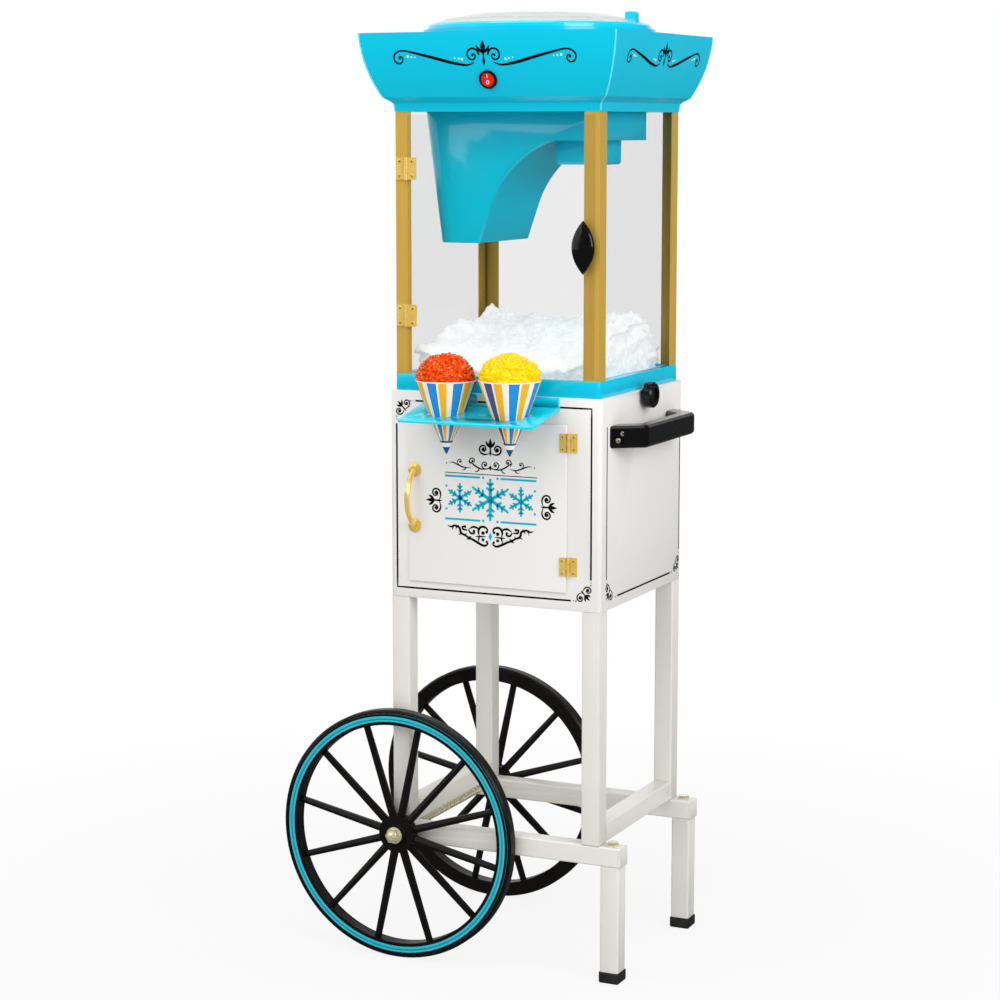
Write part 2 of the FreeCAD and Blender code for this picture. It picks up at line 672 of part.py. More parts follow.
# ---- cabinet ----------------------------------------------------------------------------
def cabinet_side(side_x):
    """A side panel, rounded at its rear edge, with a clearance hole for the clamp's stud."""
    panel = box(half_w - PANEL, half_w, front_face + PANEL, half_d, cabinet_bottom, cabinet_top)
    corner = edges_along(panel, Z, lambda m: m.x > half_w - NEAR and m.y > half_d - NEAR)
    panel = panel.makeFillet(CABINET_CORNER, corner)
    hole = cylinder(STUD_RADIUS + STUD_SLOT_GAP, V(half_w - 2 * PANEL, 0, knob_z), X, 3 * PANEL)
    panel = panel.cut(hole)
    return panel if side_x > 0 else mirrored(panel, X)


def cabinet_back():
    return box(-half_w + PANEL, half_w - PANEL, half_d - PANEL, half_d, cabinet_bottom, cabinet_top)


def cabinet_floor():
    return box(-half_w + PANEL, half_w - PANEL, front_face + PANEL, half_d - PANEL,
               cabinet_bottom, cabinet_bottom + PANEL)


def cabinet_face_frame():
    """The front of the cabinet, a frame round the doorway."""
    frame = box(-half_w, half_w, front_face, front_face + PANEL, cabinet_bottom, cabinet_top)
    corners = edges_along(frame, Z, lambda m: m.y < front_face + NEAR)
    frame = frame.makeFillet(CABINET_CORNER, corners)
    doorway = box(door_left + DOOR_LAP, door_right - DOOR_LAP, front_face - OVER,
                  front_face + PANEL + OVER, door_bottom + DOOR_LAP, door_top - DOOR_LAP)
    return frame.cut(doorway)


def storage_door():
    """The cabinet door: a soft-edged lip in front of a panel inset in the doorway."""
    lip = box(door_left, door_right, door_front, door_back, door_bottom, door_top)
    lip = lip.makeChamfer(DOOR_EDGE, edges_at(lip, Y, door_front))
    inset = DOOR_LAP + INSET_GAP
    panel = box(door_left + inset, door_right - inset, door_back, front_face + PANEL - SIDE_GAP,
                door_bottom + inset, door_top - inset)
    return join([lip, panel])


def door_catch():
    """A magnetic catch behind the left edge of the doorway."""
    middle = (door_bottom + door_top) / 2
    edge = door_left + DOOR_LAP
    return box(edge - CATCH_WIDTH / 3, edge + CATCH_WIDTH * 2 / 3, front_face + PANEL,
               front_face + PANEL + CATCH_DEPTH, middle - CATCH_HEIGHT / 2, middle + CATCH_HEIGHT / 2)


def door_pull():
    """A bowed brass pull that stands on two domed rosettes."""
    middle = (door_bottom + door_top) / 2 + PULL_ABOVE_MIDDLE
    half = PULL_SPACING / 2
    seat_y = door_front - PULL_ROOT
    low, high = V(pull_x, seat_y, middle - half), V(pull_x, seat_y, middle + half)
    crown = V(pull_x, door_front - PULL_STAND_OFF + PULL_BAR_RADIUS, middle)
    bow = Part.Wire([Part.Arc(low, crown, high).toShape()])
    start = bow.Edges[0]
    way = start.tangentAt(start.FirstParameter)
    side = way.cross(X).normalize()
    corners = [low + (X * math.cos(a) + side * math.sin(a)) * PULL_BAR_RADIUS
               for a in (math.radians(22.5 + 45 * k) for k in range(8))]
    bar = bow.makePipeShell([Part.makePolygon(corners + corners[:1])], True, True)
    rosettes = []
    for end in (low, high):
        profile = [(0, 0), (PULL_ROSETTE_RADIUS, 0), (PULL_ROSETTE_RADIUS, PULL_ROSETTE_HEIGHT / 3),
                   (PULL_ROSETTE_CROWN, PULL_ROSETTE_HEIGHT), (0, PULL_ROSETTE_HEIGHT)]
        points = [V(end.x + r, door_front - h, end.z) for r, h in profile]
        face = Part.Face(Part.makePolygon(points + points[:1]))
        rosettes.append(face.revolve(V(end.x, 0, end.z), Y, 360))
    pull = join([bar] + rosettes)
    return pull.common(box(pull_x - half, pull_x + half, door_front - 2 * PULL_STAND_OFF, door_front,
                           middle - PULL_SPACING, middle + PULL_SPACING))


def butt_hinge(axis_x, seat_y, door_face, bottom, height, leaf_width, door_side):
    """A butt hinge: its fixed leaf, with the pin held in the outer knuckles, and its moving leaf.

    seat_y is the fixed surface, door_face the door's front, and door_side is +1 when the
    door lies to the right of the pin.
    """
    r, t = KNUCKLE_RADIUS, LEAF_THICKNESS
    axis_y = seat_y - t - r + KNUCKLE_SINK
    third = height / 3
    near, far = r + KNUCKLE_RELIEF, leaf_width

    def span(side, y0, z0, z1, inner):
        edges = sorted((axis_x + side * inner, axis_x + side * far))
        return box(edges[0], edges[1], y0, y0 + t, z0, z1)

    gap = SIDE_GAP / 2
    low, high = bottom + third - gap, bottom + 2 * third + gap
    top = bottom + height
    fixed = [span(-door_side, seat_y - t, bottom, top, near),
             cylinder(HINGE_PIN_RADIUS, V(axis_x, axis_y, bottom), Z, height)]
    for z0, z1 in ((bottom, low), (high, top)):
        fixed += [span(-door_side, seat_y - t, z0, z1, 0),
                  cylinder(r, V(axis_x, axis_y, z0), Z, z1 - z0)]
    z0, z1 = low + SIDE_GAP, high - SIDE_GAP
    bore = cylinder(HINGE_PIN_RADIUS + RUNNING_FIT, V(axis_x, axis_y, z0), Z, z1 - z0)
    moving = join([span(door_side, door_face - t, bottom, top, near),
                   span(door_side, door_face - t, z0, z1, 0),
                   cylinder(r, V(axis_x, axis_y, z0), Z, z1 - z0)]).cut(bore)
    return join(fixed), moving


def storage_hinges():
    """The two hinges at the right of the cabinet door."""
    axis_x = door_right + KNUCKLE_RADIUS + SIDE_GAP
    bottoms = (door_bottom + CABINET_HINGE_ABOVE,
               door_top - CABINET_HINGE_BELOW - CABINET_HINGE_HEIGHT)
    return [butt_hinge(axis_x, front_face, door_front, z, CABINET_HINGE_HEIGHT,
                       CABINET_HINGE_LEAF, -1) for z in bottoms]


def case_hinges():
    """The two hinges at the left of the case door."""
    axis_x = case_door_left - KNUCKLE_RADIUS - SIDE_GAP
    bottoms = (case_door_bottom + CASE_HINGE_ABOVE,
               case_door_top - CASE_HINGE_BELOW - CASE_HINGE_HEIGHT)
    return [butt_hinge(axis_x, -angle_d, case_door_front, z, CASE_HINGE_HEIGHT,
                       CASE_HINGE_LEAF, 1) for z in bottoms]


# ---- cone shelf, push handle and clamp knobs ----------------------------------------------
def cone_shelf():
    """A sloping plate with two cone holes and a notched flange against the cabinet."""
    t = SHELF_THICKNESS
    drop = V(0, -SHELF_REACH, -SHELF_DROP)
    down = t / math.cos(shelf_slope)
    outline = [V(0, front_face, cabinet_top), V(0, front_face, shelf_back_z - down),
               V(0, front_face, shelf_back_z - down) + drop, V(0, front_face, shelf_back_z) + drop,
               V(0, front_face - t, shelf_back_z - t * math.tan(shelf_slope)),
               V(0, front_face - t, cabinet_top)]
    shelf = flat_prism(outline, V(SHELF_LEFT, 0, 0), X * (SHELF_RIGHT - SHELF_LEFT))
    front_corners = [e for e in shelf.Edges
                     if e.CenterOfMass.y < front_face - SHELF_REACH + NEAR and e.Length < 2 * t]
    shelf = shelf.makeFillet(SHELF_CORNER, front_corners)
    notch = box(SHELF_NOTCH_LEFT, SHELF_NOTCH_RIGHT, front_face - 2 * t, front_face + OVER,
                shelf_back_z + SHELF_NOTCH_LIFT, cabinet_top + OVER)
    shelf = shelf.cut(notch)
    normal = V(0, -math.sin(shelf_slope), math.cos(shelf_slope))
    for side in (-1, 1):
        shelf = shelf.cut(cylinder(CONE_HOLE_RADIUS, cone_hole(side) - normal * 3 * t, normal, 6 * t))
    return shelf


def cone_hole(side):
    """The middle of a cone hole, on the plate's upper face."""
    fall = CONE_HOLE_REACH * math.tan(shelf_slope)
    hole_x = CONE_HOLE_MIDDLE + side * CONE_HOLE_SPREAD / 2
    return V(hole_x, front_face - CONE_HOLE_REACH, shelf_back_z - fall)


def handle_arm_frame():
    """The start and direction of the outer face of the handle's rear arm."""
    start = V(half_w, HANDLE_ROOT_OUTER, 0)
    end = V(half_w + HANDLE_REACH, HANDLE_CORNER_Y, 0)
    return start, (end - start).normalize()


def push_handle():
    """A thick moulded bar on two arms that splay towards the cabinet."""
    outer_x = half_w + HANDLE_REACH
    bar_x = outer_x - HANDLE_BAR_DEPTH
    half_plan = [(half_w, HANDLE_ROOT_INNER), (half_w, HANDLE_ROOT_OUTER),
                 (outer_x, HANDLE_CORNER_Y)]
    inner_plan = [(bar_x, HANDLE_BAR_HALF)]
    upper = [V(x, y, 0) for x, y in inner_plan + half_plan]
    lower = [V(p.x, -p.y, 0) for p in reversed(upper)]
    plan = flat_prism(upper + lower, V(0, 0, handle_bottom), Z * HANDLE_HEIGHT)
    bends = edges_along(plan, Z, lambda m: m.x > outer_x - NEAR)
    plan = plan.makeFillet(HANDLE_BEND, bends)
    crotches = edges_along(plan, Z, lambda m: abs(m.x - bar_x) < NEAR)
    plan = plan.makeFillet(HANDLE_BEND / 2, crotches)
    rim = [edge for level in (handle_bottom, handle_top) for edge in edges_at(plan, Z, level)
           if edge.CenterOfMass.x > half_w + NEAR]
    plan = plan.makeChamfer(HANDLE_EDGE, rim)
    for side in (1, -1):
        plan = plan.cut(handle_pocket(side))
    return plan


def handle_pocket(side):
    """The shallow pocket for the two screws in the outer face of an arm, near its root."""
    start, way = handle_arm_frame()
    normal = V(way.y, -way.x, 0) * -1
    middle = (handle_bottom + handle_top) / 2
    z0 = middle - HANDLE_POCKET_HEIGHT / 2
    corner = start + way * HANDLE_POCKET_START + normal * OVER
    across, inwards = way * HANDLE_POCKET_WIDTH, normal * -(HANDLE_POCKET + OVER)
    block = flat_prism([V(0, 0, 0), across, across + inwards, inwards],
                       V(corner.x, corner.y, z0), Z * HANDLE_POCKET_HEIGHT)
    return block if side > 0 else mirrored(block, Y)


def clamp_knob(side_x):
    """A lobed hand knob with a stud that clamps the tray's skirt to the cabinet."""
    centre = V(knob_face, 0, knob_z)
    grip = cylinder(KNOB_RADIUS, centre, X, KNOB_THICKNESS)
    grip = grip.makeChamfer(KNOB_EDGE, edges_at(grip, X, knob_face + KNOB_THICKNESS))
    scoop = cylinder(KNOB_LOBE_RADIUS, centre + Y * (KNOB_RADIUS + KNOB_LOBE_OUT) - X * OVER, X,
                     KNOB_THICKNESS + 2 * OVER)
    for notch in ring_of(scoop, KNOB_LOBES, centre, X):
        grip = grip.cut(notch)
    hollow = cylinder(KNOB_HOLLOW_RADIUS, V(knob_face + KNOB_THICKNESS - KNOB_HOLLOW_DEPTH, 0, knob_z),
                      X, KNOB_HOLLOW_DEPTH + OVER)
    grip = grip.cut(hollow)
    boss_start = half_w + SIDE_GAP
    boss = cylinder(KNOB_BOSS_RADIUS, V(boss_start, 0, knob_z), X, knob_face + OVER - boss_start)
    stud_start = skirt_inner(half_w) - STUD_BOSS_LENGTH + SKIRT_WALL - STUD_TAIL
    stud = cylinder(STUD_RADIUS, V(stud_start, 0, knob_z), X, boss_start + OVER - stud_start)
    knob = join([grip, boss, stud])
    return knob if side_x > 0 else mirrored(knob, X)


def skirt_inner(half):
    """The inner face of the tray's skirt, from the cabinet's half size."""
    return half - PANEL - SEAT_GAP * 2 - SKIRT_WALL


# ---- base tray and clear case ---------------------------------------------------------------
def base_tray():
    """The moulded tray that catches the snow, with a skirt that drops into the cabinet."""
    body = rounded_box(-tray_w, tray_w, -tray_d, tray_d, cabinet_top, tray_top, TRAY_CORNER)
    pan = box(-tray_w + TRAY_RIM, tray_w - TRAY_RIM, -tray_d + TRAY_RIM, tray_d - TRAY_RIM,
              cabinet_top + TRAY_FLOOR, tray_top + OVER)
    pan = pan.makeFillet(TRAY_CORNER, edges_along(pan, Z))
    inner_w, inner_d = skirt_inner(half_w), skirt_inner(half_d)
    low = cabinet_top - SKIRT_DEPTH
    skirt = box(-inner_w - SKIRT_WALL, inner_w + SKIRT_WALL, -inner_d - SKIRT_WALL,
                inner_d + SKIRT_WALL, low, cabinet_top)
    skirt = skirt.cut(box(-inner_w, inner_w, -inner_d, inner_d, low - OVER, cabinet_top + OVER))
    boss_start = inner_w + SKIRT_WALL - STUD_BOSS_LENGTH
    bosses, bores = [], []
    for side in (-1, 1):
        start = V(side * boss_start, 0, knob_z)
        bosses.append(cylinder(STUD_BOSS_RADIUS, start, X * side, STUD_BOSS_LENGTH))
        bores.append(cylinder(STUD_RADIUS + RUNNING_FIT, start - X * (side * OVER), X * side,
                              STUD_BOSS_LENGTH + 2 * OVER))
    tray = join([body, skirt] + bosses)
    for cutter in [pan] + bores:
        tray = tray.cut(cutter)
    return tray


def corner_angle(side_x, side_y):
    """A brass-coloured angle at one corner of the case."""
    plan = [V(angle_w, angle_d, 0), V(angle_w - ANGLE_LEG, angle_d, 0),
            V(angle_w - ANGLE_LEG, angle_d - ANGLE_WALL, 0),
            V(angle_w - ANGLE_WALL, angle_d - ANGLE_WALL, 0),
            V(angle_w - ANGLE_WALL, angle_d - ANGLE_LEG, 0), V(angle_w, angle_d - ANGLE_LEG, 0)]
    angle = flat_prism(plan, V(0, 0, tray_top), Z * CASE_HEIGHT)
    angle = angle if side_x > 0 else mirrored(angle, X)
    return angle if side_y > 0 else mirrored(angle, Y)


def side_pane(side_x):
    outer = angle_w - ANGLE_WALL
    inner_d = angle_d - ANGLE_WALL - SEAT_GAP
    pane = box(outer - PANE, outer, -inner_d, inner_d, tray_top, case_top)
    return pane if side_x > 0 else mirrored(pane, X)


def rear_pane():
    outer = angle_d - ANGLE_WALL - SEAT_GAP
    inner_w = angle_w - ANGLE_WALL - PANE - SEAT_GAP
    return box(-inner_w, inner_w, outer - PANE, outer, tray_top, case_top)


def case_door():
    """The clear front door, which laps over the front flanges of the corner angles."""
    pane = box(case_door_left, case_door_right, case_door_front, case_door_back,
               case_door_bottom, case_door_top)
    return pane.makeFillet(CASE_DOOR_CORNER, edges_along(pane, Y))


def lens_outline(share, y):
    """A pointed oval, upright, at one depth, with the same flats round it at any depth."""
    half_h, half_width = LENS_HEIGHT / 2 * share, LENS_HALF_WIDTH * share
    z = case_door_bottom + LENS_CENTRE
    points = []
    for side in (1, -1):
        for k in range(LENS_FLATS):
            rise = (2.0 * k / LENS_FLATS - 1.0) * side
            points.append(V(lens_x + side * half_width * (1 - rise ** 2), y, z + half_h * rise))
    return points


def case_door_knob():
    """A lens-shaped pull with facets that rise to a narrow crown."""
    y0 = case_door_front
    sections = [(LENS_BASE_SHARE, 0.0), (1.0, LENS_WIDEST), (LENS_CROWN_SHARE, 1.0)]
    outlines = [lens_outline(share, y0 - LENS_DEPTH * depth) for share, depth in sections]
    return join([frustum(outlines[0], outlines[1]), frustum(outlines[1], outlines[2])])


# ---- top housing ------------------------------------------------------------------------------
def flare_profile(half, inset, low, high):
    """Half of the housing's upright section, from its foot to its rim, as edges.

    half is the cabinet's half size, inset the wall that is taken off, and low and high
    are the heights of the foot and the rim.
    """
    points = [V(half - HOUSING_SKIRT_INSET - inset, 0, low),
              V(half - HOUSING_SKIRT_INSET + HOUSING_SKIRT_TAPER - inset, 0, soffit_bottom),
              V(half + HOUSING_FOOT_OVERHANG - inset, 0, flare_bottom),
              V(half + HOUSING_RIM_OVERHANG - inset, 0, high)]
    foot_point, rim_point = points[2], points[3]
    chord = rim_point - foot_point
    outward = V(chord.z, 0, -chord.x).normalize()
    bulge = (foot_point + rim_point) * 0.5 + outward * HOUSING_FLARE_BULGE
    return points, bulge


def flare_prism(half, inset, low, high, long_half, along_y):
    """The housing's full section, swept through; two of these meet in a mitred body."""
    points, bulge = flare_profile(half, inset, low, high)
    edges = [Part.LineSegment(points[0], points[1]).toShape(),
             Part.LineSegment(points[1], points[2]).toShape(),
             Part.Arc(points[2], bulge, points[3]).toShape()]
    flip = [V(-p.x, 0, p.z) for p in points]
    bulge_flip = V(-bulge.x, 0, bulge.z)
    edges += [Part.LineSegment(points[3], flip[3]).toShape(),
              Part.Arc(flip[3], bulge_flip, flip[2]).toShape(),
              Part.LineSegment(flip[2], flip[1]).toShape(),
              Part.LineSegment(flip[1], flip[0]).toShape(),
              Part.LineSegment(flip[0], points[0]).toShape()]
    face = Part.Face(Part.Wire(edges))
    face.translate(Y * -long_half)
    prism = face.extrude(Y * (2 * long_half))
    if not along_y:
        prism.rotate(V(0, 0, 0), Z, 90)
    return prism


def flared_body(inset, low, high):
    """The mitred body inside or outside the housing's wall."""
    reach = half_w + 2 * HOUSING_RIM_OVERHANG
    return flare_prism(half_w, inset, low, high, reach, True).common(
        flare_prism(half_d, inset, low, high, reach, False))


def top_housing():
    """The flared housing: an open-bottomed shell with a collar for the lid."""
    outer = flared_body(0, case_top, housing_top)
    mitres = [e for e in outer.Edges
              if abs(e.BoundBox.XLength - e.BoundBox.YLength) < NEAR / 10
              and e.BoundBox.ZLength > HOUSING_WALL]
    outer = outer.makeChamfer(HOUSING_CORNER, mitres)
    inner = flared_body(HOUSING_WALL, case_top - OVER, housing_top - HOUSING_WALL)
    collar = cylinder(COLLAR_RADIUS, V(0, 0, housing_top - OVER), Z, COLLAR_HEIGHT + OVER)
    shell = join([outer, collar]).cut(inner)
    mouth = cylinder(HOPPER_MOUTH_RADIUS, V(0, 0, case_top), Z, collar_top - case_top + OVER)
    ledge = cylinder(HOPPER_MOUTH_RADIUS + HOPPER_FLANGE + SEAT_GAP,
                     V(0, 0, collar_top - HOPPER_FLANGE_THICKNESS), Z, COLLAR_HEIGHT)
    point, normal, up = switch_frame()
    hole = cylinder(SWITCH_BARREL_RADIUS + SEAT_GAP, point - normal * SWITCH_DEPTH, normal,
                    2 * SWITCH_DEPTH)
    return shell.cut(mouth).cut(ledge).cut(hole)


def housing_floor():
    """The plate that closes the housing, with a three-armed bearing over the chute."""
    inner_w = half_w - HOUSING_SKIRT_INSET - HOUSING_WALL - SEAT_GAP
    inner_d = half_d - HOUSING_SKIRT_INSET - HOUSING_WALL - SEAT_GAP
    plate = box(-inner_w, inner_w, -inner_d, inner_d, case_top, floor_top)
    below, through = case_top - OVER, FLOOR_THICKNESS + 2 * OVER
    throat = cylinder(THROAT_RADIUS, V(0, 0, below), Z, through)
    arm = box(0, THROAT_RADIUS + OVER, -SPIDER_ARM / 2, SPIDER_ARM / 2, case_top, floor_top)
    hub = cylinder(HUB_RING_RADIUS, V(0, 0, case_top), Z, FLOOR_THICKNESS)
    bore = cylinder(SPINDLE_RADIUS + RUNNING_FIT, V(0, 0, below), Z, through)
    shaft_hole = cylinder(SHAFT_HOLE_RADIUS, V(motor_x, 0, below), Z, through)
    arms = ring_of(arm, BLADE_COUNT, V(0, 0, 0), Z)
    return join([plate.cut(throat), hub] + arms).cut(bore).cut(shaft_hole)


def hopper():
    """The funnel under the lid, with vanes that keep the ice from turning."""
    wall, foot_z = HOPPER_WALL, throat_bottom + HOPPER_CONE_FOOT
    mouth = HOPPER_MOUTH_RADIUS - SEAT_GAP
    flange_low = collar_top - HOPPER_FLANGE_THICKNESS
    profile = [(THROAT_RADIUS, throat_bottom), (THROAT_RADIUS + wall, throat_bottom),
               (THROAT_RADIUS + wall, foot_z), (mouth, flange_low),
               (HOPPER_MOUTH_RADIUS + HOPPER_FLANGE, flange_low),
               (HOPPER_MOUTH_RADIUS + HOPPER_FLANGE, collar_top), (mouth - wall, collar_top),
               (THROAT_RADIUS, foot_z + wall / 2)]
    points = [V(r, 0, z) for r, z in profile]
    funnel = Part.Face(Part.makePolygon(points + points[:1])).revolve(V(0, 0, 0), Z, 360)
    vane = box(THROAT_RADIUS - HOPPER_VANE_DEPTH, THROAT_RADIUS + wall / 2,
               -HOPPER_VANE_THICKNESS / 2, HOPPER_VANE_THICKNESS / 2,
               throat_bottom, foot_z)
    return join([funnel] + ring_of(vane, HOPPER_VANES, V(0, 0, 0), Z))


def lid_ring():
    """The lid's coloured ring, with a tab at its right and a hinge barrel at its rear."""
    c = LID_RING_CHAMFER
    seat_z = lid_ring_top - DOME_FOOT
    profile = [(lid_inner, lid_bottom), (lid_outer, lid_bottom), (lid_outer, lid_ring_top - c),
               (lid_outer - c, lid_ring_top), (dome_base, lid_ring_top), (dome_base, seat_z),
               (lid_inner, seat_z)]
    points = [V(r, 0, z) for r, z in profile]
    ring = Part.Face(Part.makePolygon(points + points[:1])).revolve(V(0, 0, 0), Z, 360)
    half_x, half_y = LID_TAB_WIDTH / 2, LID_TAB_LENGTH / 2
    tab = box(lid_tab_x - half_x, lid_tab_x + half_x, -half_y, half_y,
              lid_bottom, lid_ring_top + LID_TAB_HEIGHT)
    tab = tab.makeFillet(LID_TAB_CORNER, edges_along(tab, Y, lambda m: m.z > lid_ring_top))
    half = LID_BARREL_LENGTH / 2
    barrel = cylinder(LID_BARREL_RADIUS, V(-half, lid_axis_y, lid_axis_z), X, LID_BARREL_LENGTH)
    tongue = box(-half, half, dome_base + SEAT_GAP, lid_axis_y,
                 lid_axis_z - LID_TONGUE / 2, lid_axis_z + LID_TONGUE / 2)
    bore = cylinder(LID_HINGE_PIN + RUNNING_FIT, V(-half - OVER, lid_axis_y, lid_axis_z),
                    X, LID_BARREL_LENGTH + 2 * OVER)
    return join([ring, tab, tongue, barrel]).cut(bore)


def lid_dome():
    """The clear dome, a thin low shell that sits in the ring, notched round the tab."""
    base_z, wall = lid_ring_top - DOME_FOOT, DOME_WALL
    r0 = dome_base - SEAT_GAP
    shoulder_r, shoulder_z = r0 - DOME_SHOULDER, lid_ring_top + DOME_RISE * DOME_SHOULDER_SHARE
    brow_r, brow_z = r0 - 3 * DOME_SHOULDER, lid_ring_top + DOME_RISE * DOME_BROW_SHARE
    top_z = lid_ring_top + DOME_RISE
    profile = [(r0, base_z), (r0, lid_ring_top), (shoulder_r, shoulder_z), (brow_r, brow_z),
               (0, top_z), (0, top_z - wall), (brow_r, brow_z - wall),
               (shoulder_r - wall / 2, shoulder_z - wall), (r0 - wall, base_z)]
    points = [V(r, 0, z) for r, z in profile]
    shell = Part.Face(Part.makePolygon(points + points[:1])).revolve(V(0, 0, 0), Z, 360)
    half_x, half_y = LID_TAB_WIDTH / 2 + SEAT_GAP, LID_TAB_LENGTH / 2 + SEAT_GAP
    notch = box(lid_tab_x - half_x, dome_base + OVER, -half_y, half_y, base_z - OVER, top_z + OVER)
    return shell.cut(notch)


def lid_hinge():
    """A bracket with two ears behind the collar, and the lid's hinge pin."""
    half = LID_BARREL_LENGTH / 2 + SIDE_GAP
    out = half + LID_EAR_THICKNESS
    y0, y1 = lid_axis_y - LID_EAR_DEPTH / 2, lid_axis_y + LID_EAR_DEPTH / 2
    foot_plate = box(-out, out, y0, y1, housing_top, housing_top + LID_HINGE_FOOT)
    ears = []
    for x0 in (-out, half):
        ear = box(x0, x0 + LID_EAR_THICKNESS, y0, y1, housing_top, lid_axis_z)
        crown = cylinder(LID_EAR_DEPTH / 2, V(x0, lid_axis_y, lid_axis_z), X, LID_EAR_THICKNESS)
        ears += [ear, crown]
    bracket = join([foot_plate] + ears)
    collar = cylinder(COLLAR_RADIUS + SEAT_GAP, V(0, 0, housing_top - OVER), Z,
                      COLLAR_HEIGHT + LID_RING_HEIGHT + LID_EAR_DEPTH)
    pin = cylinder(LID_HINGE_PIN, V(-out, lid_axis_y, lid_axis_z), X, 2 * out)
    return [bracket.cut(collar).cut(pin), pin]


# ---- rocker switch ----------------------------------------------------------------------------
def switch_frame():
    """The switch's middle on the front flare, the outward normal there and the up direction."""
    points, bulge = flare_profile(half_d, 0, case_top, housing_top)
    circle = Part.Arc(points[2], bulge, points[3]).toShape().Curve
    centre, radius = circle.Center, circle.Radius
    rise = flare_bottom + SWITCH_HEIGHT - centre.z
    reach = math.sqrt(radius ** 2 - rise ** 2)
    point = V(0, -(centre.x + reach), centre.z + rise)
    normal = V(0, -reach / radius, rise / radius)
    return point, normal, X.cross(normal) * -1


def switch_bezel():
    """The round bezel with its barrel through the housing."""
    point, normal, up = switch_frame()
    flange = cylinder(SWITCH_FLANGE_RADIUS, point, normal, SWITCH_FLANGE)
    start = point - normal * SWITCH_DEPTH
    barrel = cylinder(SWITCH_BARREL_RADIUS, start, normal, SWITCH_DEPTH + SWITCH_FLANGE / 2)
    bore = cylinder(SWITCH_BORE_RADIUS, start + normal * SWITCH_BACK, normal,
                    SWITCH_DEPTH + SWITCH_FLANGE)
    body = join([flange, barrel]).cut(bore)
    pivot = rocker_pivot()
    pin_half = SWITCH_BORE_RADIUS + ROCKER_PIN_GRIP
    pin = cylinder(ROCKER_PIN_RADIUS, pivot - X * pin_half, X, 2 * pin_half)
    return join([body, pin])


def rocker_pivot():
    """The rocker's pivot, a little behind the housing's surface."""
    point, normal, up = switch_frame()
    return point - normal * ROCKER_PIVOT_DEPTH


def rocker():
    """The round rocker, with two flat faces that meet over the pivot."""
    point, normal, up = switch_frame()
    pivot = rocker_pivot()
    body = cylinder(ROCKER_RADIUS, pivot - normal * (ROCKER_DEPTH / 2), normal,
                    ROCKER_DEPTH + ROCKER_BLANK)
    ridge = pivot + normal * (ROCKER_DEPTH / 2 + ROCKER_RIDGE)
    wide = 3 * ROCKER_RADIUS
    for side in (-1, 1):
        face_up = up * side
        tilt = math.radians(ROCKER_TILT)
        along = face_up * math.cos(tilt) + normal * math.sin(tilt)
        outward = normal * math.cos(tilt) - face_up * math.sin(tilt)
        corners = [V(0, 0, 0), along * wide, along * wide + outward * wide, outward * wide]
        wedge = flat_prism(corners, ridge - X * wide, X * (2 * wide))
        body = body.cut(wedge)
    bore = cylinder(ROCKER_PIN_RADIUS + RUNNING_FIT, pivot - X * wide, X, 2 * wide)
    body = body.cut(bore)
    body.rotate(pivot, X, -ROCKER_TILT)
    return body


# ---- shaving mechanism --------------------------------------------------------------------------
def gear_outline(teeth, height, start_angle):
    """A spur gear blank with straight-flanked teeth round its pitch circle."""
    pitch = GEAR_MODULE * teeth / 2
    tip, root = pitch + GEAR_MODULE * GEAR_ADDENDUM, pitch - GEAR_MODULE * GEAR_DEDENDUM
    flanks = ((-TOOTH_ROOT, root), (-TOOTH_TIP, tip), (TOOTH_TIP, tip), (TOOTH_ROOT, root))
    step = 2 * math.pi / teeth
    points = []
    for k in range(teeth):
        middle = start_angle + k * step
        for share, radius in flanks:
            a = middle + share * step
            points.append(V(radius * math.cos(a), radius * math.sin(a), 0))
    return flat_prism(points, V(0, 0, 0), Z * height)


def shaver_disc():
    """The toothed disc with a slot under each blade, carried on the spindle."""
    disc = gear_outline(DISC_TEETH, GEAR_THICKNESS, 0.0)
    disc.translate(Z * gear_bottom)
    hub_bottom = floor_top + SIDE_GAP
    hub = cylinder(DISC_HUB_RADIUS, V(0, 0, hub_bottom), Z, gear_top - hub_bottom)
    disc = join([disc, hub])
    slot = box(SLOT_INNER_RADIUS, slot_outer, -SLOT_WIDTH / 2, SLOT_WIDTH / 2,
               gear_bottom - OVER, gear_top + OVER)
    for cutter in ring_of(slot, BLADE_COUNT, V(0, 0, 0), Z):
        disc = disc.cut(cutter)
    return disc.cut(cylinder(SPINDLE_RADIUS + RUNNING_FIT, V(0, 0, 0), Z, 2 * gear_top))


def shaver_blades():
    """Three blades along the slots of the disc, each ground to an edge over its slot."""
    length = slot_outer - SLOT_INNER_RADIUS
    back = -SLOT_WIDTH / 2 - BLADE_SEAT
    blade = flat_prism([V(0, back, 0), V(0, back + BLADE_WIDTH, 0),
                        V(0, back + BLADE_WIDTH - BLADE_GRIND, BLADE_THICKNESS),
                        V(0, back, BLADE_THICKNESS)],
                       V(SLOT_INNER_RADIUS, 0, gear_top), X * length)
    return ring_of(blade, BLADE_COUNT, V(0, 0, 0), Z)


def disc_spindle():
    """The fixed spindle, with a head that keeps the disc down."""
    head_bottom = gear_top + SIDE_GAP
    shank = cylinder(SPINDLE_RADIUS, V(0, 0, case_top), Z, head_bottom - case_top)
    head = cylinder(SPINDLE_HEAD_RADIUS, V(0, 0, head_bottom), Z, SPINDLE_HEAD_HEIGHT)
    return join([shank, head])


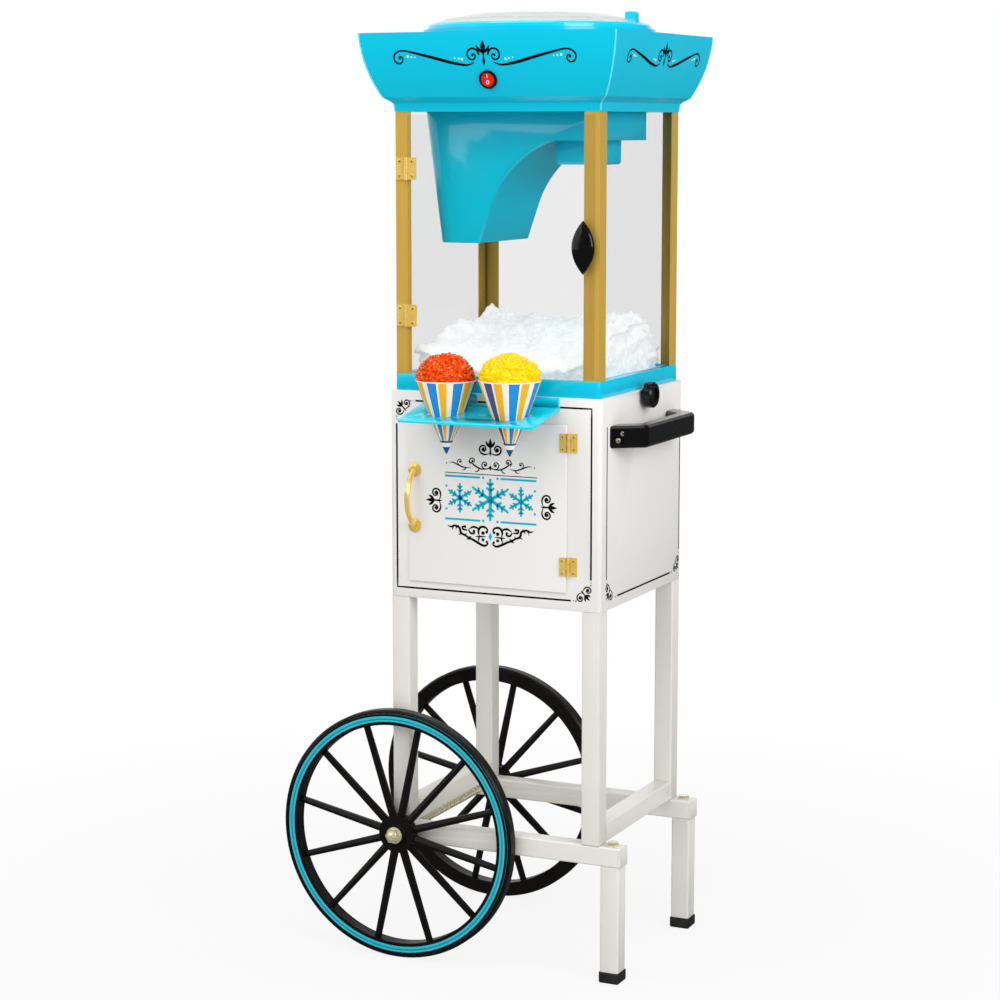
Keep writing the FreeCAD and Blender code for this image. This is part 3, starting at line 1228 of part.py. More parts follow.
def motor_pinion():
    """The small gear and its shaft, which turns in the motor."""
    pinion = gear_outline(PINION_TEETH, GEAR_THICKNESS, math.pi + math.pi / PINION_TEETH)
    pinion.translate(V(motor_x, 0, gear_bottom))
    shaft_bottom = case_top - MOTOR_FLANGE_THICKNESS - SHAFT_GRIP
    shaft = cylinder(SHAFT_RADIUS, V(motor_x, 0, shaft_bottom), Z, gear_top - shaft_bottom)
    return join([pinion, shaft])


def motor():
    """The motor: a drawn can with a flange that screws up under the housing floor."""
    flange_bottom = case_top - MOTOR_FLANGE_THICKNESS
    can = cylinder(MOTOR_RADIUS, V(motor_x, 0, flange_bottom - MOTOR_LENGTH), Z, MOTOR_LENGTH)
    can = can.makeChamfer(MOTOR_EDGE, edges_at(can, Z, flange_bottom - MOTOR_LENGTH))
    ears = box(motor_x - MOTOR_EAR_WIDTH / 2, motor_x + MOTOR_EAR_WIDTH / 2,
               -MOTOR_EAR_REACH, MOTOR_EAR_REACH, flange_bottom, case_top)
    flange = cylinder(MOTOR_RADIUS, V(motor_x, 0, flange_bottom), Z, MOTOR_FLANGE_THICKNESS)
    nose = cylinder(MOTOR_NOSE_RADIUS, V(motor_x, 0, case_top), Z, MOTOR_NOSE_HEIGHT)
    bore = cylinder(SHAFT_RADIUS + RUNNING_FIT, V(motor_x, 0, flange_bottom - SHAFT_GRIP - SIDE_GAP),
                    Z, SHAFT_GRIP + 2 * MOTOR_FLANGE_THICKNESS + FLOOR_THICKNESS)
    return join([can, flange, ears, nose]).cut(bore)


# ---- ice chute and motor cover --------------------------------------------------------------------
def chute_prism(inset, top, mouth_drop, half_depth):
    """The chute's side view swept from front to back; inset is the wall taken off."""
    box_bottom = case_top - CHUTE_BOX_DROP
    mouth_z = case_top - mouth_drop
    corners = [V(chute_top_left + inset, 0, top), V(chute_mouth_left + inset, 0, mouth_z),
               V(CHUTE_MOUTH_RIGHT - inset, 0, mouth_z),
               V(ARCH_FOOT_X - inset, 0, case_top - ARCH_FOOT_DROP)]
    bend = V(ARCH_MIDDLE_X, 0, case_top - ARCH_MIDDLE_DROP) + ARCH_SLOPE * inset
    arch_top = V(ARCH_TOP_X, 0, box_bottom + inset)
    if inset:
        end = V(motor_bay_left - CHUTE_WALL, 0, top)
        step = V(motor_bay_left - CHUTE_WALL, 0, box_bottom + inset - ARCH_STEP)
        tail = [step, end]
        arch_top = step
    else:
        tail = [arch_top, V(CHUTE_TOP_RIGHT, 0, box_bottom), V(CHUTE_TOP_RIGHT, 0, top)]
    edges = [Part.LineSegment(a, b).toShape() for a, b in zip(corners, corners[1:])]
    edges.append(Part.Arc(corners[-1], bend, arch_top).toShape())
    edges += [Part.LineSegment(a, b).toShape() for a, b in zip(tail, tail[1:] + corners[:1])]
    face = Part.Face(Part.Wire(edges))
    face.translate(Y * -half_depth)
    return face.extrude(Y * (2 * half_depth))


def slant_edges(body, top, drop):
    """The two sloping edges at the left of the chute or of its duct."""
    slant = V(chute_mouth_left - chute_top_left, 0, case_top - drop - top).normalize()
    return edges_along(body, slant)


def chute_outer():
    """The chute's outer form, with its long edges rounded."""
    body = chute_prism(0, case_top, CHUTE_DROP, CHUTE_HALF_DEPTH)
    body = body.makeFillet(CHUTE_NOSE_RADIUS, slant_edges(body, case_top, CHUTE_DROP))
    right = edges_along(body, Z, lambda m: m.x > CHUTE_TOP_RIGHT - NEAR)
    body = body.makeFillet(CHUTE_EDGE_RADIUS, right)
    mouth_edge = V(ARCH_FOOT_X - CHUTE_MOUTH_RIGHT, 0, CHUTE_DROP - ARCH_FOOT_DROP).normalize()
    under = edges_along(body, mouth_edge) + [e for e in body.Edges if is_arch_edge(e)]
    return body.makeFillet(CHUTE_LIP_RADIUS, under)


def is_arch_edge(edge):
    """Whether an edge follows the arch at the front or the rear of the chute."""
    middle = edge.valueAt((edge.FirstParameter + edge.LastParameter) / 2)
    between = ARCH_FOOT_X < middle.x < ARCH_TOP_X and middle.z < case_top - CHUTE_BOX_DROP
    return between and abs(abs(middle.y) - CHUTE_HALF_DEPTH) < NEAR


def chute_duct():
    """The hollow that the snow falls through."""
    top, drop = case_top + OVER, CHUTE_DROP + OVER
    duct = chute_prism(CHUTE_WALL, top, drop, CHUTE_HALF_DEPTH - CHUTE_WALL)
    corners = slant_edges(duct, top, drop)
    return duct.makeFillet(CHUTE_NOSE_RADIUS - CHUTE_WALL, corners)


def ice_chute():
    """The moulded housing under the floor: a chute for the snow beside the motor's bay."""
    body = chute_outer()
    inner = CHUTE_HALF_DEPTH - CHUTE_WALL
    bay = box(motor_bay_left, CHUTE_TOP_RIGHT - CHUTE_WALL, -inner, inner,
              case_top - CHUTE_BOX_DROP + CHUTE_WALL, case_top + OVER)
    hole = cylinder(MOTOR_RADIUS + MOTOR_HOLE_GAP, V(motor_x, 0, case_top - 2 * CHUTE_BOX_DROP),
                    Z, 2 * CHUTE_BOX_DROP)
    return body.cut(chute_duct()).cut(bay).cut(hole)


def motor_cover():
    """The rounded cup under the motor's bay."""
    half = COVER_WIDTH / 2
    bottom, top = case_top - COVER_DROP, case_top - CHUTE_BOX_DROP
    cup = rounded_box(motor_x - half, motor_x + half, -half, half, bottom, top, COVER_CORNER)
    cup = cup.makeChamfer(COVER_CORNER / 2, edges_at(cup, Z, bottom))
    inner = half - COVER_WALL
    hollow = rounded_box(motor_x - inner, motor_x + inner, -inner, inner, bottom + COVER_WALL,
                         top + OVER, COVER_CORNER - COVER_WALL)
    return cup.cut(hollow).cut(chute_prism(0, case_top, CHUTE_DROP, CHUTE_HALF_DEPTH))


# ---- the cart, node by node -------------------------------------------------------------------------
def build_frame():
    for side_y, place in ((-1, "front"), (1, "rear")):
        save("post_%s_left" % place, post(-1, side_y))
        save("post_%s_right" % place, post(1, side_y))
        save("rail_%s" % place, rail(side_y))
    save("legs", [leg(side) for side in (-1, 1)])
    save("feet", [foot(side) for side in (-1, 1)])
    save("cross_rails", [cross_rail(side) for side in (-1, 1)])
    save("rail_caps", [rail_cap(x, way, side) for x, way in ((rail_left, -1), (rail_right, 1))
                       for side in (-1, 1)])
    save("leg_bolts", [leg_bolt(side) for side in (-1, 1)])


def build_wheels():
    save("axle", cylinder(AXLE_RADIUS, axle_point(-axle_half), Y, 2 * axle_half))
    save("axle_washers", [axle_end(side, inner_washer) for side in (-1, 1)])
    save("axle_nuts", [axle_end(side, acorn_nut) for side in (-1, 1)])
    for side_y, place in ((-1, "front"), (1, "rear")):
        save("wheel_%s" % place, axle_end(side_y, wheel))
        save("wheel_ring_%s" % place, axle_end(side_y, wheel_ring))


def build_cabinet():
    save("cabinet_left", cabinet_side(-1))
    save("cabinet_right", cabinet_side(1))
    save("cabinet_back", cabinet_back())
    save("cabinet_floor", cabinet_floor())
    save("cabinet_face_frame", cabinet_face_frame())
    save("storage_door", storage_door())
    save("door_catch", door_catch())
    save("door_pull", door_pull())
    hinges = storage_hinges()
    save("storage_hinges_fixed", [fixed for fixed, moving in hinges])
    save("storage_hinges_moving", [moving for fixed, moving in hinges])
    save("cone_shelf", cone_shelf())
    save("push_handle", push_handle())
    save("clamp_knob_right", clamp_knob(1))
    save("clamp_knob_left", clamp_knob(-1))


def build_case():
    save("base_tray", base_tray())
    for side_y, place in ((-1, "front"), (1, "rear")):
        save("corner_angle_%s_left" % place, corner_angle(-1, side_y))
        save("corner_angle_%s_right" % place, corner_angle(1, side_y))
    save("pane_left", side_pane(-1))
    save("pane_right", side_pane(1))
    save("pane_rear", rear_pane())
    save("case_door", case_door())
    save("case_door_knob", case_door_knob())
    hinges = case_hinges()
    save("case_hinges_fixed", [fixed for fixed, moving in hinges])
    save("case_hinges_moving", [moving for fixed, moving in hinges])


def build_head():
    save("top_housing", top_housing())
    save("housing_floor", housing_floor())
    save("hopper", hopper())
    save("lid_ring", lid_ring())
    save("lid_dome", lid_dome())
    save("lid_hinge", lid_hinge())
    save("switch_bezel", switch_bezel())
    save("rocker", rocker())
    save("shaver_disc", shaver_disc())
    save("shaver_blades", shaver_blades())
    save("disc_spindle", disc_spindle())
    save("motor_pinion", motor_pinion())
    save("motor", motor())
    save("ice_chute", ice_chute())
    save("motor_cover", motor_cover())


os.makedirs("parts", exist_ok=True)
build_frame()
build_wheels()
build_cabinet()
build_case()
build_head()
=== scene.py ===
import random
from math import acos, cos, exp, hypot, pi, radians, sin

import bmesh
import bpy
from mathutils import Matrix, Vector, noise
from mathutils.bvhtree import BVHTree


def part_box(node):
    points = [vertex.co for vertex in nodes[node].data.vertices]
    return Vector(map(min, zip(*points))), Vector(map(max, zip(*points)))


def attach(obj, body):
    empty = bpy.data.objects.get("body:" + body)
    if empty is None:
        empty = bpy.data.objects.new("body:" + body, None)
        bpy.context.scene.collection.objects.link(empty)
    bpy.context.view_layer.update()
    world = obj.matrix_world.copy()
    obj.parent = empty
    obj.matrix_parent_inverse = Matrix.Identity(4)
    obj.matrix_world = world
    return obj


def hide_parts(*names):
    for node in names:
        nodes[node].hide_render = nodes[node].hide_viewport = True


# A carnival snow-cone cart. Lengths are written in millimetres in the cart's own frame:
# x = y = 0 is the middle of the cabinet, z = 0 the floor, and the front faces -Y.

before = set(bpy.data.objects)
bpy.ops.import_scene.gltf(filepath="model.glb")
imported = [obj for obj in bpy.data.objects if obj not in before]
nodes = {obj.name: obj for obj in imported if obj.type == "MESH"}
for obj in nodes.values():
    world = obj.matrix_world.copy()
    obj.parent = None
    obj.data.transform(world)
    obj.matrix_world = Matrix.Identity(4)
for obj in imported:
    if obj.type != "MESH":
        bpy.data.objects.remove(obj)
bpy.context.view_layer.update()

MM = 0.001
face_low, face_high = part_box("cabinet_face_frame")
_, back_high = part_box("cabinet_back")
MIDDLE_X = (face_low.x + face_high.x) / 2
MIDDLE_Y = (face_low.y + back_high.y) / 2
TOWARDS_BACK = Vector((0, 1, 0))
FAR = 400.0  # from the middle: where rays start, clear of the cart


def at(x, y, z):
    """A point of the cart's frame, in the scene's metres."""
    return Vector((MIDDLE_X + x * MM, MIDDLE_Y + y * MM, z * MM))


def cart(point):
    """A scene point in the cart's millimetres."""
    return Vector(((point.x - MIDDLE_X) / MM, (point.y - MIDDLE_Y) / MM, point.z / MM))


def srgb(r, g, b):
    """A screen colour, 0 to 255, as linear light."""
    return tuple((c / 255 / 12.92) if c / 255 < 0.04045 else ((c / 255 + 0.055) / 1.055) ** 2.4
                 for c in (r, g, b))


# ---- materials ----
EVEN = (1, 1, 1)  # noise of one size along x, y and z
PATCH_EDGE = (0.35, 0.65)  # the noise values between which one colour turns into the other
WEAR_EDGE = (0.3, 0.7)  # those between which the roughness goes from its least to its most


def map_range(tree, source, low, high, from_low=0.0, from_high=1.0):
    """A socket's values, moved from one range to another."""
    made = tree.nodes.new("ShaderNodeMapRange")
    for key, value in (("From Min", from_low), ("From Max", from_high),
                       ("To Min", low), ("To Max", high)):
        made.inputs[key].default_value = value
    tree.links.new(source, made.inputs["Value"])
    return made.outputs["Result"]


def combine(tree, operation, first, second):
    """One math operation on two sockets."""
    made = tree.nodes.new("ShaderNodeMath")
    made.operation = operation
    tree.links.new(first, made.inputs[0])
    tree.links.new(second, made.inputs[1])
    return made.outputs[0]


class Finish:
    """A node material built up from a Principled shader."""

    def __init__(self, name, colour, rough, metal=0.0, coat=0.0, coat_rough=0.05, specular=0.5):
        self.material = bpy.data.materials.new(name)
        self.material.use_nodes = True
        self.tree = self.material.node_tree
        self.shader = self.tree.nodes["Principled BSDF"]
        self.colour, self.rough = colour, rough
        self.set("Base Color", (*colour, 1.0))
        self.set("Roughness", rough)
        self.set("Metallic", metal)
        self.set("Coat Weight", coat)
        self.set("Coat Roughness", coat_rough)
        self.set("Specular IOR Level", specular)
        self.place = self.tree.nodes.new("ShaderNodeTexCoord").outputs["Object"]

    def set(self, socket, value):
        self.shader.inputs[socket].default_value = value
        return self

    def node(self, kind, **values):
        made = self.tree.nodes.new(kind)
        for key, value in values.items():
            if hasattr(made, key):
                setattr(made, key, value)
            else:
                made.inputs[key.replace("_", " ")].default_value = value
        return made

    def link(self, a, b):
        self.tree.links.new(a, b)

    def noise(self, scale, detail, stretch):
        mapping = self.node("ShaderNodeMapping")
        mapping.inputs["Scale"].default_value = stretch
        self.link(self.place, mapping.inputs["Vector"])
        made = self.node("ShaderNodeTexNoise", Scale=scale, Detail=detail)
        self.link(mapping.outputs["Vector"], made.inputs["Vector"])
        return made.outputs["Fac"]

    def mottle(self, scale, other, share, detail=3.0, stretch=EVEN):
        """Blends the base colour towards another one in soft patches."""
        mix = self.node("ShaderNodeMix", data_type="RGBA")
        sockets = {s.identifier: s for s in mix.inputs}
        sockets["A_Color"].default_value = (*self.colour, 1.0)
        sockets["B_Color"].default_value = (*other, 1.0)
        patches = self.noise(scale, detail, stretch)
        self.link(map_range(self.tree, patches, 0.0, share, *PATCH_EDGE), sockets["Factor_Float"])
        result = {s.identifier: s for s in mix.outputs}["Result_Color"]
        self.link(result, self.shader.inputs["Base Color"])
        return self

    def rough_noise(self, scale, spread, stretch=EVEN):
        wear = self.noise(scale, 4.0, stretch)
        self.link(map_range(self.tree, wear, self.rough - spread, self.rough + spread, *WEAR_EDGE),
                  self.shader.inputs["Roughness"])
        return self

    def bump(self, scale, height_mm, strength, detail=3.0, stretch=EVEN):
        made = self.node("ShaderNodeBump", Strength=strength, Distance=height_mm * MM)
        self.link(self.noise(scale, detail, stretch), made.inputs["Height"])
        self.link(made.outputs["Normal"], self.shader.inputs["Normal"])
        return self


def shade(colour, factor):
    return tuple(min(1.0, c * factor) for c in colour)


def surface(name, colour, rough, patches, wear, relief, stretch=EVEN, **shader):
    """A finish with patches of a second colour, uneven roughness and a fine relief.

    patches is (scale, colour, share), wear (scale, spread) and relief (scale, mm, strength).
    """
    made = Finish(name, colour, rough, **shader)
    made.mottle(*patches, stretch=stretch)
    made.rough_noise(*wear, stretch=stretch)
    return made.bump(*relief, stretch=stretch).material


def ink(name, colour, rough=0.45):
    return surface(name, colour, rough, (400, shade(colour, 1.2), 0.7), (300, 0.08),
                   (1200, 0.01, 0.5), specular=0.15)


def paper(name, colour):
    return surface(name, colour, 0.6, (180, shade(colour, 0.9), 0.6), (200, 0.08),
                   (700, 0.03, 0.6), specular=0.25)


def clear_acrylic(name, tint, facing, edge, rough, rough_spread):
    """A clear sheet that holds back some light, and more of it at a glancing angle."""
    made = Finish(name, tint, rough)
    grazing = made.node("ShaderNodeLayerWeight", Blend=0.25)
    made.link(map_range(made.tree, grazing.outputs["Fresnel"], facing, edge),
              made.shader.inputs["Alpha"])
    made.mottle(6, shade(tint, 1.12), 0.6)
    return made.rough_noise(40, rough_spread).material


def red_lamp():
    made = Finish("red_switch_plastic", srgb(214, 24, 16), 0.24, coat=0.4)
    made.set("Emission Color", (*srgb(255, 40, 20), 1.0)).set("Emission Strength", 0.12)
    made.mottle(300, srgb(190, 12, 8), 0.7)
    return made.bump(900, 0.01, 0.5).material


def ice(name, colour, deep, weight, radius_mm, glow=0.0, specular=0.2):
    """Crushed ice: light scatters inside it; glow is painted light, an emission for what it passes on.
    """
    made = Finish(name, colour, 0.3, specular=specular)
    made.set("Emission Color", (*colour, 1.0)).set("Emission Strength", glow)
    made.set("Subsurface Weight", weight)
    made.set("Subsurface Radius", (radius_mm * MM,) * 3)
    made.set("Subsurface Scale", 1.0)
    made.mottle(220, deep, 0.8, detail=5.0)
    made.rough_noise(500, 0.15)
    return made.bump(420, 0.5, 0.7, detail=6.0).material


UPRIGHT_GRAIN = (1, 1, 0.02)
LATHE_GRAIN = (1, 0.05, 1)
M = {
    "blue": surface("turquoise_plastic", srgb(0, 191, 221), 0.34, (7, srgb(0, 196, 227), 0.6),
                    (60, 0.05), (900, 0.012, 0.6), coat=0.6, coat_rough=0.12, specular=0.07),
    "blue_gloss": surface("turquoise_gloss", srgb(0, 204, 233), 0.2, (7, srgb(0, 208, 238), 0.6),
                          (30, 0.04), (900, 0.008, 0.5), coat=0.75, coat_rough=0.08, specular=0.2),
    "shelf": surface("turquoise_shelf", srgb(6, 206, 230), 0.22, (9, srgb(20, 214, 236), 0.7),
                     (40, 0.05), (900, 0.008, 0.5), coat=0.5, coat_rough=0.08, specular=0.4),
    # painted highlight: a pale cyan that stands for the light on the housing's rounded mitre edges
    "mitre_highlight_blue": ink("mitre_painted_highlight", srgb(90, 216, 236), 0.3),
    "cream": surface("cream_enamel", srgb(224, 222, 215), 0.36, (9, srgb(219, 216, 208), 0.7),
                     (80, 0.06), (420, 0.02, 0.5), coat=0.15, coat_rough=0.15, specular=0.4),
    "white": surface("white_lacquer", srgb(234, 232, 229), 0.4, (4, srgb(230, 227, 223), 0.8),
                     (50, 0.05), (300, 0.015, 0.5), coat=0.12, coat_rough=0.2, specular=0.4),
    "gold": surface("gold_anodised", srgb(206, 167, 72), 0.38, (500, srgb(196, 156, 62), 0.5),
                    (900, 0.08), (1400, 0.01, 0.5), UPRIGHT_GRAIN, metal=0.15, specular=0.3),
    "brass": surface("polished_brass", srgb(250, 214, 112), 0.2, (45, srgb(238, 192, 84), 0.6),
                     (160, 0.07), (700, 0.015, 0.4), metal=0.3, coat=0.8),
    "zinc": surface("zinc_plate", srgb(238, 232, 206), 0.24, (80, srgb(240, 222, 168), 0.6),
                    (220, 0.08), (600, 0.02, 0.4), metal=0.6, coat=0.8),
    "steel": surface("ground_steel", srgb(188, 190, 194), 0.28, (900, srgb(160, 162, 168), 0.6),
                     (600, 0.1), (900, 0.01, 0.5), LATHE_GRAIN, metal=1.0),
    "black": surface("black_gloss_plastic", srgb(9, 9, 10), 0.24, (60, srgb(15, 15, 16), 0.8),
                     (140, 0.04), (700, 0.01, 0.25), coat=0.5, coat_rough=0.06, specular=0.1),
    "wheel": surface("wheel_black", srgb(13, 11, 9), 0.38, (40, srgb(21, 17, 13), 0.8),
                     (90, 0.08), (300, 0.03, 0.6), coat=0.1, coat_rough=0.2, specular=0.15),
    "rubber": surface("black_rubber", srgb(20, 20, 20), 0.62, (120, srgb(38, 37, 36), 0.8),
                      (160, 0.1), (600, 0.05, 0.8)),
    "ring": surface("ring_turquoise", srgb(40, 178, 196), 0.36, (30, srgb(52, 188, 206), 0.8),
                    (120, 0.06), (500, 0.015, 0.5), coat=0.1, coat_rough=0.15, specular=0.3),
    "nylon": surface("natural_nylon", srgb(214, 212, 204), 0.45, (60, srgb(200, 197, 186), 0.7),
                     (120, 0.08), (500, 0.02, 0.6)),
    "ring_line": ink("ring_line_turquoise", srgb(0, 142, 160), 0.36),
    "pane": clear_acrylic("clear_acrylic", srgb(34, 38, 40), 0.045, 0.13, 0.06, 0.02),
    "dome": clear_acrylic("dome_acrylic", srgb(226, 226, 218), 0.16, 0.85, 0.12, 0.03),
    "red": red_lamp(), "ink": ink("black_ink", srgb(5, 5, 7)),
    "cyan_ink": ink("cyan_ink", srgb(4, 168, 194)), "pale_ink": ink("pale_ink", srgb(205, 238, 242)),
    "mark": ink("white_mark", srgb(240, 225, 215)),
    # the snow's glow of 0.26 is painted light: the ice glows though it is no lamp
    "snow": ice("shaved_ice", srgb(252, 252, 252), srgb(242, 245, 247), 0.7, 12.0, 0.26, 0.4),
    "cherry": ice("cherry_ice", srgb(246, 92, 2), srgb(206, 30, 0), 0.1, 2.0, specular=0.08),
    "lemon": ice("lemon_ice", srgb(255, 222, 2), srgb(248, 178, 0), 0.2, 2.0, specular=0.1),
    # painted shade: dark crumbs that stand for the shaded gaps in the cherry ice
    "cherry_gap_shade": ice("cherry_gap_shade_ice", srgb(176, 34, 2), srgb(140, 14, 0), 0.1, 2.0),
    # painted highlights: pale crumbs that stand for light on the cherry ice
    "cherry_highlight_crumb": ice("cherry_highlight_crumb_ice", srgb(255, 164, 100), srgb(190, 20, 0), 0.1, 2.0,
                        specular=0.4),
    # painted highlights: pale crumbs that stand for light on the lemon ice
    "lemon_highlight_crumb": ice("lemon_highlight_crumb_ice", srgb(255, 242, 120), srgb(255, 216, 10), 0.3, 2.0,
                       specular=0.6),
}

PAPERS = {
    "blue": (24, 146, 228), "white": (244, 243, 240), "orange": (255, 184, 16),
    "cream": (255, 240, 224), "violet": (86, 84, 136), "line": (10, 84, 136),
}
for name, colour in PAPERS.items():
    M[f"paper_{name}"] = paper(f"paper_{name}", srgb(*colour))

CORNERS = [f"{end}_{side}" for end in ("front", "rear") for side in ("left", "right")]
POSTS = [f"post_{corner}" for corner in CORNERS]
RAILS = ["rail_front", "rail_rear", "cross_rails", "legs", "rail_caps"]
CABINET = ["cabinet_left", "cabinet_right", "cabinet_back", "cabinet_floor",
           "cabinet_face_frame", "storage_door"]
NODE_FINISH = {
    "cream": POSTS + RAILS,
    "white": CABINET,
    "blue": ["base_tray", "top_housing", "lid_hinge", "hopper", "housing_floor"],
    "blue_gloss": ["ice_chute", "motor_cover", "lid_ring"],
    "shelf": ["cone_shelf"],
    "gold": [f"corner_angle_{corner}" for corner in CORNERS],
    "black": ["push_handle", "clamp_knob_left", "clamp_knob_right", "case_door_knob",
              "switch_bezel", "door_catch"],
    "wheel": ["wheel_front", "wheel_rear"],
    "ring": ["wheel_ring_front", "wheel_ring_rear"],
    "rubber": ["feet"],
    "brass": ["storage_hinges_fixed", "storage_hinges_moving", "case_hinges_fixed",
              "case_hinges_moving", "door_pull"],
    "zinc": ["leg_bolts", "axle", "axle_washers", "axle_nuts", "disc_spindle"],
    "pane": ["pane_left", "pane_right", "pane_rear", "case_door"],
    "dome": ["lid_dome"],
    "red": ["rocker"],
    "steel": ["shaver_blades", "motor"],
    "nylon": ["shaver_disc", "motor_pinion"],
}
for finish, names in NODE_FINISH.items():
    for name in names:
        nodes[name].data.materials.clear()
        nodes[name].data.materials.append(M[finish])


# ---- mesh tools ----
def mesh_object(name, verts, faces, material, smooth=True, picks=()):
    """An object from points in scene metres. picks holds each face's place in a list of materials."""
    mesh = bpy.data.meshes.new(name)
    mesh.from_pydata([tuple(v) for v in verts], [], faces)
    for polygon in mesh.polygons:
        polygon.use_smooth = smooth
    for one in (material if isinstance(material, list) else [material]):
        mesh.materials.append(one)
    for polygon, pick in zip(mesh.polygons, picks):
        polygon.material_index = pick
    obj = bpy.data.objects.new(name, mesh)
    bpy.context.scene.collection.objects.link(obj)
    return obj


def circle(radius, steps):
    """Points round a circle, as (u, v) pairs."""
    angles = [2 * pi * k / steps for k in range(steps)]
    return [(radius * cos(a), radius * sin(a)) for a in angles]


def band(low, high, steps, flip=False):
    """The quads between two rings of vertices, given by each ring's first number."""
    quads = []
    for k in range(steps):
        n = (k + 1) % steps
        quad = (low + k, low + n, high + n, high + k)
        quads.append((quad[0], quad[3], quad[2], quad[1]) if flip else quad)
    return quads


def fan(first, steps, apex):
    """The triangles between a ring of vertices and one more."""
    return [(first + k, first + (k + 1) % steps, apex) for k in range(steps)]


def lid(first, steps, flip=False):
    """One face over a ring of vertices."""
    face = tuple(range(first, first + steps))
    return face[::-1] if flip else face


def tidy_normals(obj):
    made = bmesh.new()
    made.from_mesh(obj.data)
    bmesh.ops.recalc_face_normals(made, faces=made.faces)
    made.to_mesh(obj.data)
    made.free()


def face_tree(node):
    """A CAD node's faces, for rays to meet."""
    mesh = nodes[node].data
    return BVHTree.FromPolygons([v.co.copy() for v in mesh.vertices],
                                [tuple(p.vertices) for p in mesh.polygons])


def hit(tree, start, way, name):
    """Where a ray first meets a node's faces, and the normal there, turned to where it came from."""
    point, normal, _, _ = tree.ray_cast(start, way)
    assert point is not None, f"{name}: nothing is met from {cart(start)}"
    return point, normal if normal.dot(way) < 0 else -normal


EDGE_SEGMENTS = 2
EDGE_ANGLE = radians(35)  # an edge this sharp or more is rounded
FLAT_ANGLE = radians(0.5)  # faces that meet at less become one face
WELD_REACH = 1e-6


def soften(obj, width_mm, whole_faces=True):
    """Rounds an object's edges with modifiers, and leaves its own mesh as it is."""
    weld = obj.modifiers.new("weld", "WELD")
    weld.merge_threshold = WELD_REACH
    if whole_faces:
        flat = obj.modifiers.new("flat", "DECIMATE")
        flat.decimate_type = "DISSOLVE"
        flat.angle_limit = FLAT_ANGLE
    bevel = obj.modifiers.new("edges", "BEVEL")
    bevel.width = width_mm * MM
    bevel.segments = EDGE_SEGMENTS
    bevel.limit_method = "ANGLE"
    bevel.angle_limit = EDGE_ANGLE
    bevel.harden_normals = True
    bevel.use_clamp_overlap = whole_faces


SOFT_EDGES = {
    1.6: POSTS,
    1.0: RAILS + ["feet"],
    0.7: CABINET + ["base_tray"],
    0.5: ["door_catch", "motor_cover", "case_door"],
}
for obj in nodes.values():
    for polygon in obj.data.polygons:
        polygon.use_smooth = True
for width, names in SOFT_EDGES.items():
    for name in names:
        soften(nodes[name], width)
for name, width in (("cone_shelf", 0.6), ("ice_chute", 0.8)):
    soften(nodes[name], width, whole_faces=False)


# ---- wheel rings ----
RING_STEPS = 96
RING_EDGE_WIDTH = 3.5  # the tread's black lip laps over the coloured ring
RING_LINE = (152.6, 154.6)  # inner and outer radius of the darker line round the ring
RING_PROUD, RING_SUNK = 0.15, 0.2


def revolve(name, profile, centre, axis, material):
    """A closed ring from (radius, along) points in millimetres about an axis."""
    turn = axis.to_track_quat("Z", "Y").to_matrix()
    verts, faces = [], []
    for r, h in profile:
        verts += [centre + turn @ (Vector((u, v, h)) * MM) for u, v in circle(r, RING_STEPS)]
    for i in range(len(profile)):
        faces += band(i * RING_STEPS, (i + 1) % len(profile) * RING_STEPS, RING_STEPS)
    return mesh_object(name, verts, faces, material)


def ring_bands():
    """A black lip and a darker line on each wheel's coloured ring."""
    for label, way in (("front", -1), ("rear", 1)):
        low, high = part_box(f"wheel_ring_{label}")
        middle = (low + high) / 2
        middle.y = low.y if way < 0 else high.y
        outer = (high.x - low.x) / 2 / MM
        for kind, inner, rim, finish in (("lip", outer - RING_EDGE_WIDTH, outer, "wheel"),
                                         ("line", *RING_LINE, "ring_line")):
            profile = [(inner, -RING_SUNK), (rim, -RING_SUNK), (rim, RING_PROUD), (inner, RING_PROUD)]
            hoop = revolve(f"ring_{kind}_{label}", profile, middle, Vector((0, way, 0)), M[finish])
            tidy_normals(hoop)
            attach(hoop, f"wheel_{label}")


ring_bands()


# ---- shaved ice ----
PAN_X, PAN_Y, PAN_Z = 126.0, 116.0, 748.6  # half sizes of the heap's foot, and its height off the floor
HEAP_STEP = 1.9
HEAP_WALL_ROWS = 26
HEAP_REACH = 30.0  # how far each spot height pulls the surface
HEAP_SHOULDER, HEAP_ROLL = 18.0, 13.0  # the heap rolls off towards the glass
LUMP_SIZE, LUMP_RISE = 26.0, 7.0
CLOD_SIZE, CLOD_RISE = 9.0, 3.2
CRUMB_SIZE, FINE_SIZE = 6.5, 3.4
WALL_GAP, WALL_WAVE, WALL_WAVE_SIZE = 8.5, 6.5, 17.0
HEAP = [(-124, 112, 842), (-124, -100, 814), (-124, 0, 824), (-112, 45, 820), (-62, 70, 815),
        (-50, 84, 834), (-14, 70, 816), (25, 62, 827), (62, -30, 826), (96, 48, 836),
        (118, 40, 842), (122, -12, 824), (122, -56, 836), (124, 112, 796), (60, 112, 808),
        (0, 0, 812), (0, -60, 800), (-60, -60, 796), (60, -76, 800), (118, -112, 782),
        (60, -114, 776), (0, -114, 772), (-60, -114, 772), (-122, -114, 788)]


def grain(point, size, seed):
    """0 in the joints between crumbs of ice, up to 1 on top of them, and a number for the crumb."""
    spread, centres = noise.voronoi(Vector(point) / size + Vector((seed, seed * 0.7, seed * 1.3)))
    rise = min(1.0, (spread[1] - spread[0]) * 2.4)
    return rise * rise * (3 - 2 * rise), noise.cell(centres[0] * 7.3)


